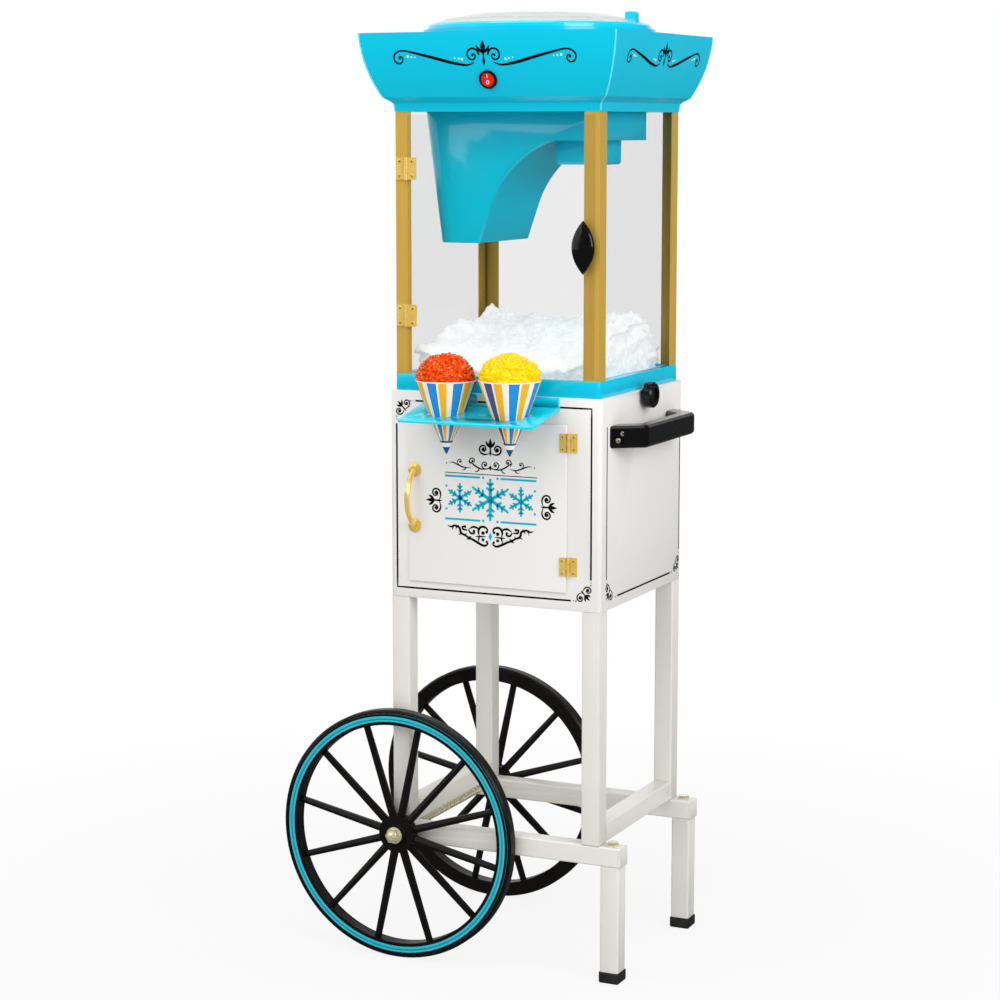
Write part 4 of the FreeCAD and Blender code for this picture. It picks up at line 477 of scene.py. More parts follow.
def heap_height(x, y):
    total = weight = 0.0
    for px, py, pz in HEAP:
        pull = exp(-((x - px) ** 2 + (y - py) ** 2) / (2 * HEAP_REACH ** 2)) + 1e-5
        total += pull * pz
        weight += pull
    base = total / weight
    rise, pick = grain((x, y, base), CRUMB_SIZE, 3.0)
    fine, again = grain((x, y, base), FINE_SIZE, 5.0)
    lumps = noise.fractal(Vector((x, y, 7.0)) / LUMP_SIZE, 0.8, 2.1, 4)
    clods = noise.fractal(Vector((x, y, 31.0)) / CLOD_SIZE, 0.9, 2.1, 3)
    edge = max(0.0, 1 - min(PAN_X - abs(x), PAN_Y - abs(y)) / HEAP_SHOULDER)
    height = base + LUMP_RISE * lumps + CLOD_RISE * clods - HEAP_ROLL * edge ** 2
    return height + rise * (0.6 + 2.2 * pick) + fine * (0.3 + 1.5 * again)


def heap_wall(x, y, z):
    """A point of the heap's side, drawn in from the glass by its crumbs."""
    rise, pick = grain((x, y, z), CRUMB_SIZE, 3.0)
    fine, _ = grain((x, y, z), FINE_SIZE, 5.0)
    wave = WALL_WAVE * noise.noise(Vector((x, y, z)) / WALL_WAVE_SIZE)
    inset = WALL_GAP - rise * (0.8 + 2.4 * pick) - fine * 1.2 + wave
    return x * (1 - inset / PAN_X), y * (1 - inset / PAN_Y)


def ice_heap():
    """Shaved ice banked up in the tray, as a closed mesh over a fine grid."""
    count_x, count_y = int(2 * PAN_X / HEAP_STEP), int(2 * PAN_Y / HEAP_STEP)
    verts, faces, row = [], [], count_x + 1
    for j in range(count_y + 1):
        for i in range(count_x + 1):
            x = -PAN_X + 2 * PAN_X * i / count_x
            y = -PAN_Y + 2 * PAN_Y * j / count_y
            verts.append(Vector((x, y, heap_height(x, y))))
    for j in range(count_y):
        for i in range(count_x):
            a = j * row + i
            faces.append((a, a + 1, a + 1 + row, a + row))
    edge = list(range(row)) + [j * row + count_x for j in range(1, count_y + 1)]
    edge += [count_y * row + i for i in range(count_x - 1, -1, -1)]
    edge += [j * row for j in range(count_y - 1, 0, -1)]
    rim = [verts[a].copy() for a in edge]
    for a in edge:
        verts[a].x, verts[a].y = heap_wall(*verts[a])
    above = edge
    for level in range(1, HEAP_WALL_ROWS + 1):
        below = []
        for corner in rim:
            z = corner.z + (PAN_Z - corner.z) * level / HEAP_WALL_ROWS
            verts.append(Vector((*heap_wall(corner.x, corner.y, z), z)))
            below.append(len(verts) - 1)
        for k, a in enumerate(above):
            n = (k + 1) % len(above)
            faces.append((above[n], a, below[k], below[n]))
        above = below
    faces.append(tuple(reversed(above)))
    heap = mesh_object("ice_heap", [at(*v) for v in verts], faces, M["snow"])
    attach(heap, "cart")


# ---- paper cones and scoops ----
LEFT_CONE, RIGHT_CONE = -47.2, 39.8  # x of each cone's middle
CONE_Y = -177.2
CONE_TIP_RADIUS = 0.8
CONE_WALL = 0.6
CONE_SWELL = 1.6  # the paper bellies out a little between tip and rim
CONE_WARP = 0.12  # and is not quite round
CONE_STEPS = 240
CONE_SEAM = 115.0  # degrees, on the side away from the front
CONE_TIP = [0.0, 9.0, 14.5, 17.0]  # heights between which the tip's own inks change
# the tip's printed bands use the dark line ink where they are blue: painted shade of the cone's lower
# end
CONE_TIP_INKS_AND_SHADE = ["line", "white", "line"]
CONE_ROWS = 12
CONE_RIM = 1.5  # the plain edge above the stripes
STRIPES = (["line"] + ["blue"] * 11 + ["line"] + ["white"] * 3 + ["orange"] * 11
           + ["cream"] * 6 + ["white"] * 3)
PAPER_NAMES = list(PAPERS)


def stripe(k, violet):
    """The ink of one strip of paper. One of the blue stripes is violet."""
    found = STRIPES[k % len(STRIPES)]
    return "violet" if found == "blue" and k // len(STRIPES) == violet else found


def paper_cone(name, x, tip_z, rim_z, rim_radius, first, violet):
    """A rolled paper cone with printed stripes that narrow towards its tip."""
    height = rim_z - tip_z
    striped = height - CONE_TIP[-1] - CONE_RIM
    levels = CONE_TIP + [CONE_TIP[-1] + striped * k / CONE_ROWS for k in range(1, CONE_ROWS + 1)]
    levels.append(height)
    inks = CONE_TIP_INKS_AND_SHADE + [None] * CONE_ROWS + ["white"]
    verts, faces, picks = [], [], []
    for wall in (0.0, CONE_WALL):
        for level in levels:
            radius = CONE_TIP_RADIUS + (rim_radius - CONE_TIP_RADIUS) * level / height - wall
            full = CONE_SWELL * sin(pi * level / height)
            lift = 2.2 * wall if level < 1 else 0.0
            for k in range(CONE_STEPS):
                a = radians(CONE_SEAM + 360 * k / CONE_STEPS)
                r = max(radius, 0.15) + full + CONE_WARP * sin(3 * a + x) * level / height
                verts.append(at(x + r * cos(a), CONE_Y + r * sin(a), tip_z + level + lift))
    inside = len(levels) * CONE_STEPS
    plain = [PAPER_NAMES.index("white")] * CONE_STEPS
    for j, ink_name in enumerate(inks):
        low, high = j * CONE_STEPS, (j + 1) * CONE_STEPS
        faces += band(low, high, CONE_STEPS)
        picks += [PAPER_NAMES.index(ink_name or stripe(k - first, violet))
                  for k in range(CONE_STEPS)]
        faces += band(inside + high, inside + low, CONE_STEPS)
        picks += plain
    faces += band(inside - CONE_STEPS, 2 * inside - CONE_STEPS, CONE_STEPS)
    picks += plain
    faces += [lid(0, CONE_STEPS, flip=True), lid(inside, CONE_STEPS)]
    picks += [0, 0]
    cone = mesh_object(name, verts, faces, [M[f"paper_{one}"] for one in PAPERS],
                       picks=picks)
    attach(cone, "cart")


SCOOP_LUMPS, SCOOP_LUMP_SIZE = 1.7, 11.0
SCOOP_RINGS, SCOOP_STEPS = 84, 300
SCOOP_FADE_RINGS = 5  # the skin calms down over the last rings, above the paper
SCOOP_FOOT, SCOOP_FOOT_IN = 5.0, 3.0
CRUMB_CORNERS = ((1, 0, 0), (-1, 0, 0), (0, 1, 0), (0, -1, 0), (0, 0, 1), (0, 0, -1))
CRUMB_FACES = ((0, 2, 4), (2, 1, 4), (1, 3, 4), (3, 0, 4), (2, 0, 5), (1, 2, 5), (3, 1, 5), (0, 3, 5))


def scoop_point(turn, a, radius, height, fullness, aside=0.0):
    """A point of a scoop's plain dome: turn is the angle down from its top, a the one round it."""
    r = radius * sin(turn) ** fullness
    return Vector((r * cos(a) + aside, r * sin(a), height * cos(turn) ** (2 - fullness)))


def ice_dome(name, x, base_z, radius, height, fullness, grain_mm, proud, lean, material, seed):
    """A scoop of crushed ice: a dome whose skin is made of crumbs."""
    verts = []
    for j in range(SCOOP_RINGS + 1):
        turn = pi / 2 * j / SCOOP_RINGS
        aside = lean * sin(turn) * cos(turn)
        fade = min(1.0, (SCOOP_RINGS - j) / SCOOP_FADE_RINGS)
        for k in range(SCOOP_STEPS if j else 1):
            a = 2 * pi * k / SCOOP_STEPS
            spot = scoop_point(turn, a, radius, height, fullness, aside)
            out = Vector((cos(a) * sin(turn), sin(a) * sin(turn), cos(turn)))
            rise, pick = grain(spot, grain_mm, seed)
            lumps = noise.fractal(spot / SCOOP_LUMP_SIZE + Vector((seed, 0, 0)), 0.8, 2.1, 3)
            spot += out * fade * (proud * (rise * (0.35 + 0.9 * pick) - 0.35) + SCOOP_LUMPS * lumps)
            verts.append(at(x + spot.x, CONE_Y + spot.y, base_z + spot.z))
    foot = len(verts)
    verts += [at(x + u, CONE_Y + v, base_z - SCOOP_FOOT)
              for u, v in circle(radius - SCOOP_FOOT_IN, SCOOP_STEPS)]
    faces = fan(1, SCOOP_STEPS, 0)
    for low in range(1, foot, SCOOP_STEPS):
        faces += band(low, low + SCOOP_STEPS, SCOOP_STEPS, flip=True)
    faces.append(lid(foot, SCOOP_STEPS, flip=True))
    dome = mesh_object(name, verts, faces, material)
    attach(dome, "cart")


def crumbs(name, x, base_z, radius, height, fullness, count, size, material, seed):
    """Loose faceted crumbs that stand out of a scoop's skin. Pale crumbs are painted highlights, dark
    ones painted shade.
    """
    pick = random.Random(seed)
    verts, faces = [], []
    for _ in range(count):
        a, turn = pick.uniform(0, 2 * pi), acos(pick.uniform(0.05, 1.0))
        middle = scoop_point(turn, a, radius, height, fullness)
        big = size * pick.uniform(0.55, 1.15)
        start = len(verts)
        spin = Matrix.Rotation(pick.uniform(0, 6.28), 3,
                               Vector((pick.uniform(-1, 1), pick.uniform(-1, 1), 1)))
        for corner in CRUMB_CORNERS:
            spot = middle + spin @ (Vector(corner) * big * pick.uniform(0.65, 1.1))
            verts.append(at(x + spot.x, CONE_Y + spot.y, base_z + spot.z))
        faces += [(start + i, start + j, start + k) for i, j, k in CRUMB_FACES]
    piece = mesh_object(name, verts, faces, material, smooth=False)
    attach(piece, "cart")


ice_heap()
paper_cone("paper_cone_left", LEFT_CONE, 672.0, 765.0, 38.2, 22, 4)
paper_cone("paper_cone_right", RIGHT_CONE, 673.0, 768.0, 39.2, 11, 2)
ice_dome("cherry_scoop", LEFT_CONE, 764.5, 37.0, 31.5, 0.8, 4.4, 3.0, -3.0, M["cherry"], 1.0)
# pale crumbs, painted highlights on the cherry ice
crumbs("cherry_highlight_crumbs", -48.2, 764.5, 37.0, 32.0, 0.8, 430, 2.0, M["cherry_highlight_crumb"], 11)
# dark crumbs, painted shade in the gaps of the cherry ice
crumbs("cherry_shade_gaps", -47.6, 764.5, 36.8, 31.4, 0.8, 130, 1.6, M["cherry_gap_shade"], 13)
ice_dome("lemon_scoop", RIGHT_CONE, 767.5, 38.0, 32.5, 1.22, 5.0, 2.4, 0.0, M["lemon"], 2.0)
# pale crumbs, painted highlights on the lemon ice
crumbs("lemon_highlight_crumbs", RIGHT_CONE, 767.5, 37.4, 33.0, 1.22, 260, 1.8, M["lemon_highlight_crumb"], 12)


# ---- door knob and screws ----
KNOB_STEPS, KNOB_ROWS = 96, 22
KNOB_SIDE = 0.4  # the share of the knob's depth that its side takes up
KNOB_FLARE = 0.1  # how much the side widens towards the face
KNOB_TOP = 0.05  # the crown ends this far inside the knob's box


def lens_knob():
    """The case door's black knob: an upright pointed oval with a rounded, crowned face."""
    low, high = (cart(p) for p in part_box("case_door_knob"))
    middle_x, middle_z = (low.x + high.x) / 2, (low.z + high.z) / 2
    half_x, half_z, depth = (high.x - low.x) / 2, (high.z - low.z) / 2, high.y - low.y
    half_ring = KNOB_STEPS // 2
    verts, faces = [], []
    for j in range(KNOB_ROWS):
        d = j / KNOB_ROWS
        share = 1 - KNOB_FLARE + KNOB_FLARE * sin(pi / 2 * min(1.0, d / KNOB_SIDE))
        if d > KNOB_SIDE:
            share = (1 - ((d - KNOB_SIDE) / (1 - KNOB_SIDE)) ** 2.4) ** 0.62
        for k in range(KNOB_STEPS):
            side = 1 if k < half_ring else -1
            rise = (2 * (k % half_ring) / half_ring - 1) * side
            x = side * half_x * (1 - rise ** 2) * share
            verts.append(at(middle_x + x, high.y - depth * d, middle_z + half_z * rise * share ** 0.8))
    verts.append(at(middle_x, low.y + KNOB_TOP, middle_z))
    for j in range(KNOB_ROWS - 1):
        faces += band(j * KNOB_STEPS, (j + 1) * KNOB_STEPS, KNOB_STEPS)
    faces += fan((KNOB_ROWS - 1) * KNOB_STEPS, KNOB_STEPS, KNOB_ROWS * KNOB_STEPS)
    faces.append(lid(0, KNOB_STEPS, flip=True))
    knob = mesh_object("lens_knob", verts, faces, M["black"])
    tidy_normals(knob)
    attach(knob, "case_door")
    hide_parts("case_door_knob")


# A screw's head, its top, how deep it sits and its cross slots, as shares of its radius.
SCREW_STEPS = 24
SCREW_HEAD = ((1.0, 0.0), (0.97, 0.16), (0.82, 0.36), (0.55, 0.5))
SCREW_TOP = 0.46
SCREW_SINK = 0.1
SLOT = ((0.62, 0.13), (-0.62, 0.13), (-0.62, -0.13), (0.62, -0.13))
SLOT_LEVELS = (0.3, 0.62)
SLOT_FACES = ((3, 2, 1, 0), (4, 5, 6, 7), (0, 1, 5, 4), (1, 2, 6, 5), (2, 3, 7, 6), (3, 0, 4, 7))
SLOT_TURN, SLOT_TURN_EACH = 20, 37  # degrees: no two screws stop at the same angle


def screws(name, node, starts, way, radius, body, finish):
    """Domed cross-head screws, set down on a node's face where rays along one way meet it. Their slots
    are black boxes, painted shade for the recesses.
    """
    tree = face_tree(node)
    verts, faces, picks = [], [], []
    for count, start in enumerate(starts):
        point, normal = hit(tree, start, way, name)
        turn = normal.to_track_quat("Z", "Y").to_matrix()
        base = len(verts)
        local = [(u, v, h) for r, h in SCREW_HEAD for u, v in circle(r, SCREW_STEPS)]
        verts += [point + turn @ Vector((u, v, h - SCREW_SINK)) * radius * MM for u, v, h in local]
        verts.append(point + normal * SCREW_TOP * radius * MM)
        last = base + (len(SCREW_HEAD) - 1) * SCREW_STEPS
        for low in range(base, last, SCREW_STEPS):
            faces += band(low, low + SCREW_STEPS, SCREW_STEPS)
        faces += fan(last, SCREW_STEPS, len(verts) - 1)
        faces.append(lid(base, SCREW_STEPS, flip=True))
        picks += [0] * (len(faces) - len(picks))
        # each slot is a black box, painted shade for the slot's recess
        for arm in (0, 90):
            a = radians(SLOT_TURN + SLOT_TURN_EACH * count + arm)
            c, d = cos(a), sin(a)
            foot = len(verts)
            local = [(u * c - v * d, u * d + v * c, h) for h in SLOT_LEVELS for u, v in SLOT]
            verts += [point + turn @ Vector((u, v, h - SCREW_SINK)) * radius * MM for u, v, h in local]
            faces += [tuple(foot + i for i in quad) for quad in SLOT_FACES]
        picks += [1] * (len(faces) - len(picks))
    piece = mesh_object(name, verts, faces, [M[finish], M["ink"]], smooth=False, picks=picks)
    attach(piece, body)


HINGE_HEIGHT = {"storage": 23.4, "case": 28.0}
HINGE_SCREWS_AT = (0.17, 0.83)  # shares of a leaf's height
HANDLE_SCREWS_AT = ((153.6, 690.4), (158.6, 699.2))


def hinge_screws(label, node, body, side, radius, inset):
    """Two screws in each of a node's two leaves, near the leaf's upper and lower ends."""
    low, high = (cart(p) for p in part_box(node))
    x = low.x + inset if side < 0 else high.x - inset
    starts = []
    for foot in (low.z, high.z - HINGE_HEIGHT[label]):
        for share in HINGE_SCREWS_AT:
            starts.append(at(x, -FAR, foot + HINGE_HEIGHT[label] * share))
    screws(f"{node}_screws", node, starts, TOWARDS_BACK, radius, body, "brass")


lens_knob()
hinge_screws("storage", "storage_hinges_fixed", "cart", 1, 1.9, 4.3)
hinge_screws("storage", "storage_hinges_moving", "storage_door", -1, 1.9, 4.3)
hinge_screws("case", "case_hinges_fixed", "cart", -1, 2.1, 5.2)
hinge_screws("case", "case_hinges_moving", "case_door", 1, 2.1, 5.2)
for label, way in (("front", TOWARDS_BACK), ("rear", -TOWARDS_BACK)):
    spots = [at(x, -FAR * way.y, z) for x, z in HANDLE_SCREWS_AT]
    screws(f"handle_screws_{label}", "push_handle", spots, way, 3.3, "cart", "zinc")


# ---- printed ornament ----
INK_PROUD, INK_SUNK = 0.14, 0.1
INK_THINNEST = 0.25
LINE_PIECE = 12.0  # straight lines are cut into stretches of about this length
CURL_PIECE = 11  # and curls into stretches of this many degrees
CURL_FLICK = 35  # degrees over which a curl's flick dies down


def flow(points, per=6):
    """A smooth stroke through (across, up, width) points."""
    path = []
    for i in range(len(points) - 1):
        a, b = points[max(i - 1, 0)], points[i]
        c, d = points[i + 1], points[min(i + 2, len(points) - 1)]
        for k in range(per):
            t = k / per
            path.append(tuple(
                0.5 * (2 * q + (r - p) * t + (2 * p - 5 * q + 4 * r - w) * t * t
                       + (3 * q - p - 3 * r + w) * t ** 3) for p, q, r, w in zip(a, b, c, d)))
    return path + [points[-1]]


def curl(across, up, start, sweep, outer, inner, width, thin, flick):
    """A spiral stroke towards its eye. flick draws its first stretch further out."""
    count = max(12, int(abs(sweep) / CURL_PIECE))
    path = []
    for k in range(count + 1):
        t = k / count
        r = outer + (inner - outer) * t + flick * exp(-t * abs(sweep) / CURL_FLICK)
        a = radians(start + sweep * t)
        swell = min(1.0, 0.45 + 5 * t)
        path.append((across + r * cos(a), up + r * sin(a),
                     (width + (thin - width) * t) * swell))
    return path


def moved(path, to, turn=0.0, scale=1.0, flip=1):
    c, s = cos(radians(turn)) * scale, sin(radians(turn)) * scale
    return [(to[0] + flip * u * c - v * s, to[1] + flip * u * s + v * c, w * scale)
            for u, v, w in path]


class Print:
    """Ink laid on one face of a CAD node, as thin closed ribbons and dots.

    side is "front", seen along +Y with (x, z) points, or "right" or "left", seen from
    there with (y, z) points.
    """

    def __init__(self, name, node, side="front", body="cart", ink_name="ink"):
        self.tree = face_tree(node)
        self.name, self.side, self.body, self.ink = name, side, body, ink_name
        self.verts, self.faces = [], []

    def corner(self, across, up):
        """A point of the ink's upper side on the node's face, and one under it."""
        if self.side == "front":
            start, way = at(across, -FAR, up), TOWARDS_BACK
        else:
            out = 1 if self.side == "right" else -1
            start, way = at(out * FAR, across, up), Vector((-out, 0, 0))
        point, normal = hit(self.tree, start, way, self.name)
        self.verts += [point + normal * INK_PROUD * MM, point - normal * INK_SUNK * MM]
        return len(self.verts) - 2

    def stroke(self, path, close=False):
        rows = []
        for i, (u, v, w) in enumerate(path):
            before = path[i - 1] if i or close else path[i]
            after = path[(i + 1) % len(path)] if i < len(path) - 1 or close else path[i]
            du, dv = after[0] - before[0], after[1] - before[1]
            long = hypot(du, dv) or 1.0
            half = max(w, INK_THINNEST) / 2
            nu, nv = -dv / long * half, du / long * half
            rows.append((self.corner(u + nu, v + nv), self.corner(u - nu, v - nv)))
        pairs = list(zip(rows, rows[1:])) + ([(rows[-1], rows[0])] if close else [])
        for (a, b), (c, d) in pairs:
            self.faces += [(a, c, d, b), (b + 1, d + 1, c + 1, a + 1),
                           (a + 1, c + 1, c, a), (b, d, d + 1, b + 1)]
        if not close:
            (a, b), (c, d) = rows[0], rows[-1]
            self.faces += [(a, b, b + 1, a + 1), (d, c, c + 1, d + 1)]

    def draw(self, paths, to, turn=0.0, scale=1.0, flip=1):
        """Several strokes, moved to one place."""
        for path in paths:
            self.stroke(moved(path, to, turn, scale, flip))

    def line(self, points, width):
        """A straight-sided line with mitred corners, cut into short stretches."""
        path = []
        for (u0, v0), (u1, v1) in zip(points, points[1:]):
            count = max(1, int(hypot(u1 - u0, v1 - v0) / LINE_PIECE))
            path += [(u0 + (u1 - u0) * k / count, v0 + (v1 - v0) * k / count, width)
                     for k in range(count)]
        path.append((*points[-1], width))
        self.stroke(path)

    def fill(self, outline):
        """A convex patch inside an outline of (across, up) points."""
        ring = [self.corner(u, v) for u, v in outline]
        middle = self.corner(sum(u for u, _ in outline) / len(outline),
                             sum(v for _, v in outline) / len(outline))
        for a, b in zip(ring, ring[1:] + ring[:1]):
            self.faces += [(a, b, middle), (middle + 1, b + 1, a + 1), (a, a + 1, b + 1, b)]

    def dot(self, u, v, radius, steps=14):
        self.fill([(u + x, v + y) for x, y in circle(radius, steps)])

    def dots(self, spots, to=(0, 0), flip=1):
        for u, v, radius in spots:
            self.dot(to[0] + flip * u, to[1] + v, radius)

    def diamond(self, u, v, wide, high):
        self.fill([(u + wide, v), (u, v + high), (u - wide, v), (u, v - high)])

    def done(self):
        piece = mesh_object(self.name, self.verts, self.faces, M[self.ink], smooth=False)
        tidy_normals(piece)
        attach(piece, self.body)


CREST_EYE = (9.7, 6.9)
CREST_CURL = curl(*CREST_EYE, 212, 500, 6.5, 1.9, 2.4, 1.7, flick=3.4)
CREST_LEAF = flow([(0.3, 9.0, 1.2), (2.6, 11.2, 2.9), (4.8, 14.0, 3.0), (6.1, 17.2, 0.5)])
CREST_BUD = flow([(0, -1.6, 0.6), (0, 2.5, 2.6), (0, 7.5, 2.0), (0, 13.5, 4.4), (0, 17, 3.0),
                  (0, 20.4, 0.5)])


def crest(page, to, turn, scale=1.0):
    """Two scrolls with a leafed bud between them, growing from one foot."""
    for flip in (1, -1):
        page.draw([CREST_CURL, CREST_LEAF], to, turn, scale, flip)
        u, v, _ = moved([(*CREST_EYE, 1)], to, turn, scale, flip)[0]
        page.dot(u, v, 2.1 * scale)
    page.draw([CREST_BUD], to, turn, scale)


LINE = 2.3
frame_print = Print("cabinet_pinstripes", "cabinet_face_frame")
for points in ([(-110.1, 731.9), (-96.4, 732.0)],
               [(-22.7, 734.5), (-8.3, 734.5)],
               [(90.4, 732.6), (133.1, 732.6), (133.1, 518.2)],
               [(106.0, 490.6), (-137.0, 490.2), (-137.0, 701.9)]):
    frame_print.line(points, LINE)
crest(frame_print, (-124.4, 719.6), 45, 0.77)
crest(frame_print, (120.5, 503.4), -135, 0.77)
frame_print.dots([(-117.3, 731.5, 0.95), (-113.7, 731.6, 0.7), (-137.0, 711.0, 0.95),
                  (-137.0, 707.4, 0.7), (133.1, 511.6, 0.95), (133.1, 514.9, 0.7),
                  (113.0, 490.6, 0.95), (109.6, 490.6, 0.7)])
frame_print.done()

for side in ("right", "left"):
    side_print = Print(f"side_pinstripes_{side}", f"cabinet_{side}", side)
    for points in ([(-119.6, 709.0), (-119.6, 517.0)], [(-83.0, 491.0), (100.0, 491.0)],
                   [(131.8, 518.0), (131.8, 706.0)]):
        side_print.line(points, LINE)
    crest(side_print, (-107.0, 503.6), 135, 0.86)
    crest(side_print, (119.4, 503.2), -135, 0.77)
    side_print.dots([(-119.6, 512.5, 0.95), (-90.5, 491.0, 0.95), (-87.0, 491.0, 0.7),
                     (131.8, 513.6, 0.8), (107.0, 491.0, 0.9), (103.6, 491.0, 0.7)])
    side_print.done()

DOOR_MIDDLE = -3.6
door_print = Print("door_ornament", "storage_door", body="storage_door")
crest(door_print, (DOOR_MIDDLE, 668.8), 0)
crest(door_print, (-73.3, 606.5), 90)
crest(door_print, (67.6, 606.7), -90)

SCROLL_BOLD = 1.4
SCROLL_AT = (DOOR_MIDDLE, 564.0)
SCROLL = [
    [(-59.8, 11.4, 0.5), (-55.2, 9.8, 1.6), (-50.2, 11.6, 1.9), (-43.5, 9.4, 2.2), (-41.0, 2.7, 2.2),
     (-36.0, 0.4, 1.9), (-30.2, -2.3, 1.7), (-26.4, -0.8, 0.6)],
    [(-51.5, 11.0, 1.5), (-53.9, 5.7, 0.4)], [(-46.8, 10.8, 1.6), (-48.5, 6.8, 0.4)],
    [(-42.4, 6.0, 1.8), (-44.9, 12.6, 0.4)], [(-40.6, 2.4, 1.8), (-44.8, -0.2, 0.4)],
    [(-35.6, 0.2, 1.6), (-33.1, 3.0, 0.4)],
    [(-33.1, -5.5, 0.5), (-30.2, -3.9, 1.7), (-25.2, -4.6, 2.1), (-16.8, -8.7, 2.3), (-9.3, -11.6, 2.1),
     (-4.6, -10.1, 1.7), (-3.4, -7.2, 1.2)],
    [(-35.2, 11.4, 1.4), (-38.9, 10.8, 1.8), (-37.7, 7.5, 1.9), (-31.8, 7.1, 1.2)],
    [(-30.6, 7.2, 1.2), (-27.2, 3.2, 1.9), (-22.7, 3.6, 1.7), (-22.5, 6.1, 1.2)],
    [(-30.2, 7.9, 0.6), (-24.3, 11.4, 1.9), (-18.5, 10.6, 1.9), (-15.6, 8.2, 0.6)],
    [(-15.6, 0.5, 0.8), (-16.6, 6.5, 2.0), (-14.3, 11.2, 2.2), (-10.2, 12.5, 2.1), (-5.6, 11.1, 1.8),
     (-3.7, 7.9, 1.4), (-5.0, 5.9, 1.0)],
    [(-21.0, -0.6, 0.5), (-14.0, -0.2, 1.5), (-6.0, 0.2, 0.5)],
    [(-16.8, -7.9, 0.5), (-16.0, -2.5, 1.5), (-13.5, 0.7, 0.5)],
]
SCROLL_DOTS = [(-35.4, 11.2, 1.3), (-22.9, 6.2, 1.3), (-10.2, 4.4, 1.7), (-10.2, -4.0, 1.5),
               (-5.2, 6.0, 1.3), (-4.9, -6.6, 1.2)]
for flip in (1, -1):
    for path in SCROLL:
        bold = [(u, v, w * SCROLL_BOLD) for u, v, w in flow(path)]
        door_print.stroke(moved(bold, SCROLL_AT, flip=flip))
    door_print.dots([(u, v, r * SCROLL_BOLD) for u, v, r in SCROLL_DOTS], SCROLL_AT, flip)

VINE_AT = (DOOR_MIDDLE, 650.6)
VINE_CURLS = [
    curl(7.6, 5.2, 200, 460, 5.6, 1.4, 1.7, 1.1, flick=2.4),
    curl(24.6, 9.4, -60, 400, 4.6, 1.2, 1.6, 1.0, flick=1.2),
    curl(42.4, 7.6, -70, 380, 3.6, 1.0, 1.4, 0.9, flick=1.0),
]
VINE_STEMS = [
    [(2.4, 0.8, 0.5), (12, -0.6, 1.7), (20, 2.4, 2.0), (27, 7.0, 1.6), (31, 8.2, 0.6)],
    [(27, 1.0, 0.5), (36, 0.2, 1.6), (44, 2.8, 1.9), (52, 5.8, 1.4), (58, 5.6, 0.4)],
    [(15, 0.2, 1.2), (17.5, -3.4, 1.6), (21.5, -4.4, 0.4)],
    [(33.5, 0.4, 1.2), (36.2, -2.6, 1.4), (40, -3.2, 0.4)],
]
VINE_DOTS = [(7.6, 5.2, 1.5), (24.6, 9.4, 1.3), (42.4, 7.6, 1.1), (61.0, 4.6, 0.9)]
for flip in (1, -1):
    door_print.draw(VINE_CURLS + [flow(stem) for stem in VINE_STEMS], VINE_AT, flip=flip)
    door_print.dots(VINE_DOTS, VINE_AT, flip)
door_print.diamond(DOOR_MIDDLE, 652.0, 2.2, 3.4)
door_print.line([(-67.0, 643.2), (61.0, 643.2)], 1.0)
door_print.done()

# Between the ornaments the door carries a plain row of snowflakes between bars.
FLAKE_MIDDLE = 611.5
FLAKE_ASIDE = 42.5
FLAKE_BRANCHES = ((0.42, 0.24), (0.68, 0.2))  # where each pair leaves its arm, and its reach
BAR_UP, BAR_START, BAR_END, BAR_WIDTH = 27.5, 63.5, 14.0, 2.6


def flake(page, u, v, radius, width):
    """A six-armed snowflake with two pairs of side branches on each arm."""
    for turn in range(0, 360, 60):
        arm = [(0, 0, width), (0, radius * 0.5, width), (0, radius, width * 0.7)]
        page.stroke(moved(arm, (u, v), turn))
        for foot, reach in FLAKE_BRANCHES:
            branch = [(0, radius * foot, width * 0.85),
                      (radius * reach * 0.87, radius * (foot + reach * 0.6), width * 0.6)]
            for flip in (1, -1):
                page.stroke(moved(branch, (u, v), turn, flip=flip))
    page.dot(u, v, radius * 0.2, 6)


cyan_print = Print("door_snowflakes", "storage_door", "front", "storage_door", "cyan_ink")
flake(cyan_print, DOOR_MIDDLE, FLAKE_MIDDLE, 27.0, 4.4)
for flip in (1, -1):
    flake(cyan_print, DOOR_MIDDLE + flip * FLAKE_ASIDE, FLAKE_MIDDLE, 19.0, 3.4)
    for v in (FLAKE_MIDDLE - BAR_UP, FLAKE_MIDDLE + BAR_UP):
        cyan_print.line([(DOOR_MIDDLE + flip * BAR_START, v), (DOOR_MIDDLE + flip * BAR_END, v)],
                        BAR_WIDTH)
    cyan_print.dots([(10.0, -BAR_UP, 1.7), (10.0, BAR_UP, 1.7), (24.0, -14.5, 1.6), (61.5, -14.5, 1.6),
                     (24.0, 14.5, 1.6), (61.5, 14.5, 1.6)], (DOOR_MIDDLE, FLAKE_MIDDLE), flip)
cyan_print.diamond(DOOR_MIDDLE, 564.6, 2.6, 5.6)
cyan_print.done()

SWITCH_Z = 1134.1
MARK_WIDTH, RING_MARK_WIDTH = 1.1, 0.9
switch_print = Print("switch_marks", "rocker", "front", "switch_rocker", "mark")
switch_print.stroke([(0, SWITCH_Z + 1.6, MARK_WIDTH), (0, SWITCH_Z + 5.6, MARK_WIDTH)])
switch_print.stroke([(1.7 * u, SWITCH_Z - 3.7 + 1.9 * v, RING_MARK_WIDTH) for u, v in circle(1, 20)],
                    close=True)
switch_print.done()


# ---- scrolls on the housing ----
def spiral(eye, start, sweep, radii, power, widths, count):
    """A stroke that winds in round its eye, from the first radius and width to the second."""
    path = []
    for k in range(count):
        t = k / (count - 1)
        r = radii[0] + (radii[1] - radii[0]) * t ** power
        a = radians(start + sweep * t)
        width = widths[0] + (widths[1] - widths[0]) * t
        path.append((eye[0] + r * cos(a), eye[1] + r * sin(a), width))
    return path


